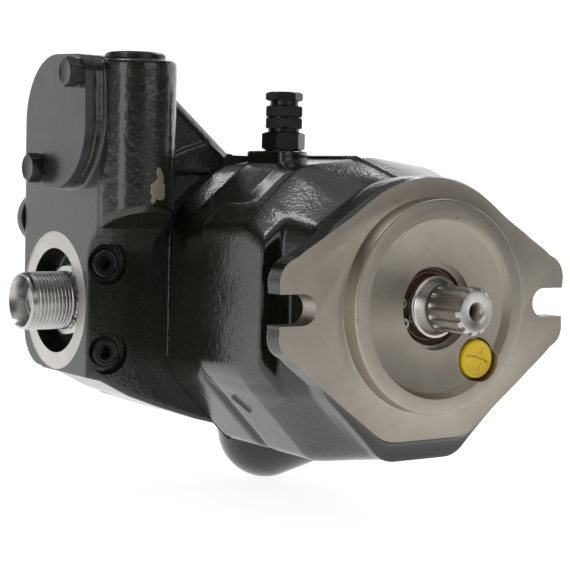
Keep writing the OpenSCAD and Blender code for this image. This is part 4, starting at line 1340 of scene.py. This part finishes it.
SO, SR = 33.3, 11.1
prof = [(-141, 0), (-141, 9.2), (-140.2, 10), (-126, 10), (-126, 12), (-125.6, 12.4), (-46, 12.4), (-46, 14.6), (-45.6, 15), (-30, 15), (-30, 17.2), (-29.7, 17.5), (-27.3, 17.5),
        (-27, 17.2), (-27, 15), (-7, 15), (-7, 14.9), (4.6, 14.9), (5.0, 14.6), (5.2, 13.6), (5.6, 13.3), (9.4, 11.5), (10.0, 11.2), (10.6, 11.1),
        (31.5, 11.1), (33.1, 9.55), (33.3, 9.3), (33.3, 0)]
shf = lathe("drive_shaft_ground", prof, "X", (0, 0), 192, (M_STEEL, M_SPLINE, M_END), [0] * 20 + [1] * 7 + [2] * 2)
gaps = []
NT = 13
for i in range(NT):
    a = PI2 * i / NT

    def rot(y, z):
        return (y * math.cos(a) - z * math.sin(a), y * math.sin(a) + z * math.cos(a))
    secs = []
    for x, rb in ((11.6, 11.4), (12.6, 10.6), (14.2, 9.9), (16.2, 9.6), (40, 9.6)):
        k = (rb - 9.6)
        w0, w1 = 0.85, 1.85
        ring_ = []
        pts = [(-w1, 12.6), (-w0 - 0.42, 10.35 + k * 0.6), (-w0 - 0.05, 9.85 + k), (-w0 * 0.6, rb), (w0 * 0.6, rb), (w0 + 0.05, 9.85 + k), (w0 + 0.42, 10.35 + k * 0.6), (w1, 12.6)]
        for yy, zz in pts:
            zz = min(zz, 12.6)
            q = rot(yy, zz)
            ring_.append((x, q[0], q[1]))
        secs.append(ring_)
    V = [p for s_ in secs for p in s_]
    n = len(secs[0])
    F = [tuple(range(n)), tuple(range(len(V) - 1, len(V) - n - 1, -1))]
    for j in range(len(secs) - 1):
        for q in range(n):
            F.append((j * n + q, j * n + (q + 1) % n, (j + 1) * n + (q + 1) % n, (j + 1) * n + q))
    g_ = fix_normals(obj_from("cut", V, F, (M_STEEL, M_SPLINE), False))
    for p in g_.data.polygons:
        p.material_index = 1
    gaps.append(g_)
boolean(shf, gaps)
boolean(shf, [lathe("cut", [(13.3, 0), (14.5, 2.1), (28.6, 2.1), (33.0, 4.2), (33.3, 4.6), (36, 5.4), (36, 0)], "X", (0, 0), 64, (M_STEEL, M_SPLINE, M_END), [2] * 7)])
bevel(shf, 0.16, 2, 38)
sharp(shf, 36)
place(shf, "drive_shaft_ground", "shaft", "drive_shaft", "ground_steel")

seal = lathe("shaft_lip_seal", [(-7, 20.45), (-0.6, 20.45), (-0.25, 20.15), (-0.25, 19.5), (-0.55, 19.15), (-1.25, 19.0), (-1.4, 17.3), (-0.95, 16.9), (-0.5, 16.75), (-0.3, 16.3), (-0.35, 15.5), (-0.8, 15.12), (-1.8, 15.06),
                                  (-2.5, 15.3), (-3.0, 16.5), (-3.1, 18.5), (-7, 18.6)], "X", (0, 0), 160, (M_SEAL,))
sharp(seal, 50)
place(seal, "shaft_lip_seal", BODY, "shaft_seal", "seal_rubber")

M_RING = metal_mat("snap_ring_steel", (0.42, 0.40, 0.38), 0.27)
rg = lathe("snap_ring", [(0.1, 18.7), (0.1, 21.5), (1.6, 21.5), (1.6, 18.7)], "X", (0, 0), 160, (M_RING,))
lug = []
for a in (-16, 16):
    t = math.radians(a + 100)
    lug.append(cyl("X", 0.1, 1.6, 2.6, -17.9 * math.sin(t), 17.9 * math.cos(t), 40, (M_RING,)))
boolean(rg, lug, "UNION")
t = math.radians(100)
gapv = []
for (yy, zz) in ((-2.2, 12), (2.2, 12), (2.2, 24), (-2.2, 24)):
    gapv.append((yy * math.cos(t) - zz * math.sin(t), yy * math.sin(t) + zz * math.cos(t)))
boolean(rg, [prism("cut", gapv, "X", -1, 3, (M_RING,))])
holes = [cyl("X", -1, 3, 1.15, -17.7 * math.sin(math.radians(a + 100)), 17.7 * math.cos(math.radians(a + 100)), 32, (M_RING,)) for a in (-16, 16)]
boolean(rg, holes)
bevel(rg, 0.14, 2, 40)
sharp(rg, 36)
place(rg, "snap_ring", BODY, "seal_retaining_ring", "spring_steel")

dp = lathe("drain_port_plug", [(-6, 0), (-6, 7.3), (-5.5, 7.8), (3.0, 7.85), (3.2, 8.7), (3.5, 9.15), (4.0, 9.25), (6.2, 9.25), (6.8, 9.0), (7.0, 8.5), (6.95, 7.7), (6.6, 7.35), (6.55, 0)], "X", (DRY, DRZ), 128, (M_YEL,))
sl = []
aa = math.radians(74)
for k in range(9):
    # slightly bowed screwdriver slot
    s0, s1 = -7.0 + 14.0 * k / 9, -7.0 + 14.0 * (k + 1) / 9
    b0, b1 = 0.9 * (1 - (s0 / 7) ** 2), 0.9 * (1 - (s1 / 7) ** 2)
    q = []
    for w_, s_, b_ in ((-0.55, s0, b0), (0.55, s0, b0), (0.55, s1 + 0.02, b1), (-0.55, s1 + 0.02, b1)):
        yy, zz = w_ + b_, s_
        q.append((DRY + yy * math.cos(aa) - zz * math.sin(aa), DRZ + yy * math.sin(aa) + zz * math.cos(aa)))
    sl.append(prism("cut", q, "X", 5.3, 8, (M_YEL,)))
boolean(dp, sl)
win = []
for q0 in ([(1.2, -3.4), (5.2, -2.6), (5.6, 1.4), (1.6, 2.2)], [(-6.2, -1.8), (-3.0, -2.6), (-2.6, 0.6), (-5.6, 1.0)]):
    win.append(prism("cut", [(DRY + 0.9 * 0 + (-q_[0]) * math.cos(aa) * 1.0 - q_[1] * math.sin(aa), DRZ - q_[0] * math.sin(aa) + q_[1] * math.cos(aa)) for q_ in q0], "X", 6.1, 8, (M_YEL,)))
boolean(dp, win)
bevel(dp, 0.12, 2, 40)
sharp(dp, 36)
place(dp, "drain_port_plug", BODY, "drain_plug", "yellow_plastic")

# ------------------------------------------------------------------ paint run along the joint, and a chip on the tower


def ray_hit(u, v, fn):
    """The point (mm) where the camera's line through a picture position meets a casting."""
    d = (-back * 1580.07 + rr * (u - 285) - uu * (v - 285)).normalized()
    p = C * 1000
    t = 450.0
    for _ in range(80):
        q = p + d * t
        f = float(fn(np.array([q.x]), np.array([q.y]), np.array([q.z]))[0])
        t += f * 0.8
        if f < 0.005:
            break
    return p + d * t


az, el, roll = math.radians(55.57), math.radians(3.81), math.radians(1.39)
back = Vector((math.sin(az) * math.cos(el), -math.cos(az) * math.cos(el), math.sin(el)))
C = Vector((0.57558, -0.47785, 0.05793))
right = (-back).cross(Vector((0, 0, 1))).normalized()
up = right.cross(-back).normalized()
rr = right * math.cos(roll) + up * math.sin(roll)
uu = -right * math.sin(roll) + up * math.cos(roll)

V, F = [], []
NB, NA = 150, 12
for i in range(NB):
    z = 34.0 - 74.0 * i / (NB - 1)
    yb_ = -70.15
    if z < -33:
        yb_ = -70.15 + (-33 - z) * 0.9
    w = 0.75 + 0.45 * noise.noise(Vector((0.0, 3.0, z * 0.35))) + 0.35 * max(0.0, noise.noise(Vector((5.0, 0.0, z * 0.12))))
    w *= min(1.0, 0.25 + 0.2 * min(i, NB - 1 - i))
    cx = -125.0 + 0.5 * noise.noise(Vector((9.0, 0.0, z * 0.22)))
    for k in range(NA):
        a = PI2 * k / NA
        V.append((cx + 1.5 * w * math.cos(a), yb_ + 0.75 * w * math.sin(a), z))
for i in range(NB - 1):
    for k in range(NA):
        F.append((i * NA + k, i * NA + (k + 1) % NA, (i + 1) * NA + (k + 1) % NA, (i + 1) * NA + k))
F.append(tuple(range(NA)))
F.append(tuple(range((NB - 1) * NA, NB * NA)))
bead = fix_normals(obj_from("joint_paint_run", V, F, (M_CAST,)))
place(bead, "joint_paint_run", BODY, None, "cast_paint")

M_CHIP = metal_mat("bare_iron_chip", (0.36, 0.32, 0.26), 0.5, 1.0, 0.3, 0.00002, 0.4)
CHIP = [(158, 166), (161, 167), (163, 171), (164.5, 176), (164, 181), (166, 186), (165, 191), (166, 196), (164, 200), (160, 201), (157, 199), (155, 203), (152, 204), (150, 201), (152, 197), (149.5, 193), (151, 188), (150, 185), (154, 182), (157, 178), (156, 172)]
cxm, cym = sum(p[0] for p in CHIP) / len(CHIP), sum(p[1] for p in CHIP) / len(CHIP)
V, F = [], []
m_ = len(CHIP)
dense = []
for i in range(m_):
    a, b_ = CHIP[i], CHIP[(i + 1) % m_]
    for k in range(3):
        f = k / 3
        j_ = 0.35 * noise.noise(Vector((a[0] + f * 3, a[1], i * 1.7 + k)))
        dense.append((a[0] + (b_[0] - a[0]) * f + j_, a[1] + (b_[1] - a[1]) * f + j_))
n_ = len(dense)
RINGS = 7
for r_ in range(1, RINGS + 1):
    f = r_ / RINGS
    for a in dense:
        q = ray_hit(cxm + (a[0] - cxm) * f, cym + (a[1] - cym) * f, block_sd)
        out_ = 0.16 if r_ < RINGS else -0.15
        e_ = 0.3
        g_ = Vector([float(block_sd(np.array([q.x + (e_ if k == 0 else 0)]), np.array([q.y + (e_ if k == 1 else 0)]), np.array([q.z + (e_ if k == 2 else 0)]))[0]) for k in range(3)])
        g0 = float(block_sd(np.array([q.x]), np.array([q.y]), np.array([q.z]))[0])
        nn_ = (g_ - Vector((g0, g0, g0))).normalized()
        V.append(tuple(q + nn_ * out_))
for r_ in range(RINGS - 1):
    for i in range(n_):
        F.append((r_ * n_ + i, r_ * n_ + (i + 1) % n_, (r_ + 1) * n_ + (i + 1) % n_, (r_ + 1) * n_ + i))
F.append(tuple(range(n_)))
chip = fix_normals(obj_from("tower_paint_chip", V, F, (M_CHIP,)))
place(chip, "tower_paint_chip", BODY, None, "cast_paint")

# ------------------------------------------------------------------ materials for the CAD nodes that are kept

KEEP = [
    (("housing_gasket", "valve_cover_gasket"), M_GASKET),
    (("nipple_seal", "shaft_seal"), M_SEAL),
    (("spring",), M_SPRING),
    (("cage",), M_BRASS),
    (("slipper", "bronze", "cradle", "bushing", "valve_plate"), M_BRONZE),
    (("barrel",), M_BARREL),
    (("race", "rollers", "ball", "piston"), M_BEAR),
    (("screws", "plug"), M_BOLT),
]
done = set()
OWN = {m for k, m in list(globals().items()) if k.startswith("M_") and isinstance(m, bpy.types.Material)}
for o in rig.pieces():
    if any(s.material in OWN for s in o.material_slots):
        continue
    for keys, m in KEEP:
        if any(k in o.name for k in keys):
            pick = m
            break
    else:
        pick = M_BEAR
    if not o.material_slots:
        o.data.materials.append(pick)
    for s in o.material_slots:
        s.material = pick
    done.add(o.name)
print("CAD nodes given procedural finishes:", sorted(done))

# the spool's spring shortens between the spool and the plug above it
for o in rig.pieces():
    if o.name == "spool_spring":
        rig.squash(o, "spool_slide", (0, 0, 1), (TX * MM, TY * MM, 103.99 * MM), keep=0.748)

# ------------------------------------------------------------------ stage, light, camera

FZ = -109.4 * MM - 0.0003


def stage_floor():
    bm = bmesh.new()
    vs = [bm.verts.new(v) for v in ((-14, -14, FZ), (14, -14, FZ), (14, 14, FZ), (-14, 14, FZ))]
    bm.faces.new(vs)
    me = bpy.data.meshes.new("studio_floor")
    bm.to_mesh(me)
    bm.free()
    o = bpy.data.objects.new("studio_floor", me)
    COLL.objects.link(o)
    m, nt, b = new_mat("studio_floor_white")
    b.inputs["Base Color"].default_value = (0.80, 0.80, 0.80, 1)
    b.inputs["Emission Color"].default_value = (1, 1, 1, 1)
    lp = nt.nodes.new("ShaderNodeLightPath")
    mr = nt.nodes.new("ShaderNodeMapRange")
    nt.links.new(lp.outputs["Is Camera Ray"], mr.inputs["Value"])
    gp = nt.nodes.new("ShaderNodeNewGeometry")
    sx = nt.nodes.new("ShaderNodeSeparateXYZ")
    nt.links.new(gp.outputs["Position"], sx.inputs[0])
    fx = nt.nodes.new("ShaderNodeMapRange")
    fx.interpolation_type = "SMOOTHSTEP"
    nt.links.new(sx.outputs[0], fx.inputs["Value"])
    fx.inputs["From Min"].default_value = -0.10
    fx.inputs["From Max"].default_value = 0.70
    fx.inputs["To Min"].default_value = 0.66
    fx.inputs["To Max"].default_value = 0.24
    nt.links.new(fx.outputs["Result"], mr.inputs["To Min"])
    mr.inputs["To Max"].default_value = 0.84
    nt.links.new(mr.outputs["Result"], b.inputs["Emission Strength"])
    b.inputs["Roughness"].default_value = 0.75
    b.inputs["Specular IOR Level"].default_value = 0.1
    me.materials.append(m)
    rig.stage(o)
    return o


stage_floor()

w = bpy.data.worlds.new("studio")
w.use_nodes = True
SCN.world = w
nt = w.node_tree
bg = nt.nodes["Background"]
tc = nt.nodes.new("ShaderNodeTexCoord")
sp = nt.nodes.new("ShaderNodeSeparateXYZ")
nt.links.new(tc.outputs["Generated"], sp.inputs[0])


def wm(op, a, b=None, c=None, clamp=False):
    m = nt.nodes.new("ShaderNodeMath")
    m.operation = op
    m.use_clamp = clamp
    for i, v in enumerate((a, b, c)):
        if v is None:
            continue
        if isinstance(v, (int, float)):
            m.inputs[i].default_value = v
        else:
            nt.links.new(v, m.inputs[i])
    return m.outputs[0]


def sstep(v, lo, hi):
    m = nt.nodes.new("ShaderNodeMapRange")
    m.interpolation_type = "SMOOTHSTEP"
    nt.links.new(v, m.inputs["Value"])
    m.inputs["From Min"].default_value = lo
    m.inputs["From Max"].default_value = hi
    m.inputs["To Min"].default_value = 0.0
    m.inputs["To Max"].default_value = 1.0
    return m.outputs["Result"]


# bright backdrop behind the object, darker overhead and behind the camera
beh = wm("ADD", wm("MULTIPLY", sp.outputs[0], -0.82), wm("MULTIPLY", sp.outputs[1], 0.565))
side = wm("MULTIPLY", sp.outputs[1], -1.0)
nx = wm("MULTIPLY", sp.outputs[0], -1.0)
b1 = sstep(beh, 0.12, 0.44)
b2 = wm("SUBTRACT", 1.0, sstep(sp.outputs[2], 0.36, 0.55))
back_ = wm("MULTIPLY", b1, b2)
left_ = wm("MULTIPLY", wm("MULTIPLY", sstep(side, 0.60, 0.98), b2), 0.22)
topl = wm("MULTIPLY", sstep(sp.outputs[2], 0.70, 0.92), 0.42)
lum = wm("ADD", wm("MAXIMUM", back_, left_), wm("ADD", 0.09, topl))
nt.links.new(lum, bg.inputs["Strength"])
bg.inputs["Color"].default_value = (1, 1, 1, 1)


def softbox(name, loc, target, sx, sy, power, color=(1, 1, 1)):
    l = bpy.data.lights.new(name, "AREA")
    l.shape = "RECTANGLE"
    l.size, l.size_y = sx, sy
    l.energy = power
    l.color = color
    o = bpy.data.objects.new(name, l)
    o.location = loc
    o.rotation_euler = (Vector(target) - Vector(loc)).to_track_quat("-Z", "Y").to_euler()
    COLL.objects.link(o)
    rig.stage(o)
    return o


softbox("softbox_left", (0.42, -1.5, 0.10), (-0.09, -0.03, 0.0), 0.50, 1.2, 3.2)
softbox("softbox_front", (1.3, 0.22, 0.50), (-0.03, 0, 0.0), 0.9, 0.7, 2.1, (1.0, 0.975, 0.94))
softbox("softbox_top", (-0.42, -0.48, 1.35), (-0.09, -0.02, 0.0), 0.30, 0.30, 1.7)
softbox("softbox_rim", (-0.75, 0.85, 1.05), (-0.03, 0, 0.0), 0.4, 0.4, 2.0)

az, el, roll = math.radians(55.57), math.radians(3.81), math.radians(1.39)
back = Vector((math.sin(az) * math.cos(el), -math.cos(az) * math.cos(el), math.sin(el)))
C = Vector((0.57558, -0.47785, 0.05793))
right = (-back).cross(Vector((0, 0, 1))).normalized()
up = right.cross(-back).normalized()
rr = right * math.cos(roll) + up * math.sin(roll)
uu = -right * math.sin(roll) + up * math.cos(roll)
cd = bpy.data.cameras.new("camera")
cam = bpy.data.objects.new("camera", cd)
cam.matrix_world = Matrix(((rr.x, uu.x, back.x, C.x), (rr.y, uu.y, back.y, C.y), (rr.z, uu.z, back.z, C.z), (0, 0, 0, 1)))
cd.sensor_width = 36.0
cd.lens = 99.8
cd.clip_start, cd.clip_end = 0.01, 100
COLL.objects.link(cam)
SCN.camera = cam
SCN.view_settings.view_transform = "Standard"
SCN.view_settings.look = "None"
SCN.view_settings.exposure = 0.0

bpy.context.view_layer.update()
with open("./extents.json", "w") as f:
    json.dump({"cad": [list(map(float, v)) for v in cad_box], "visual": [list(map(float, v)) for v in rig.bounds()]}, f)
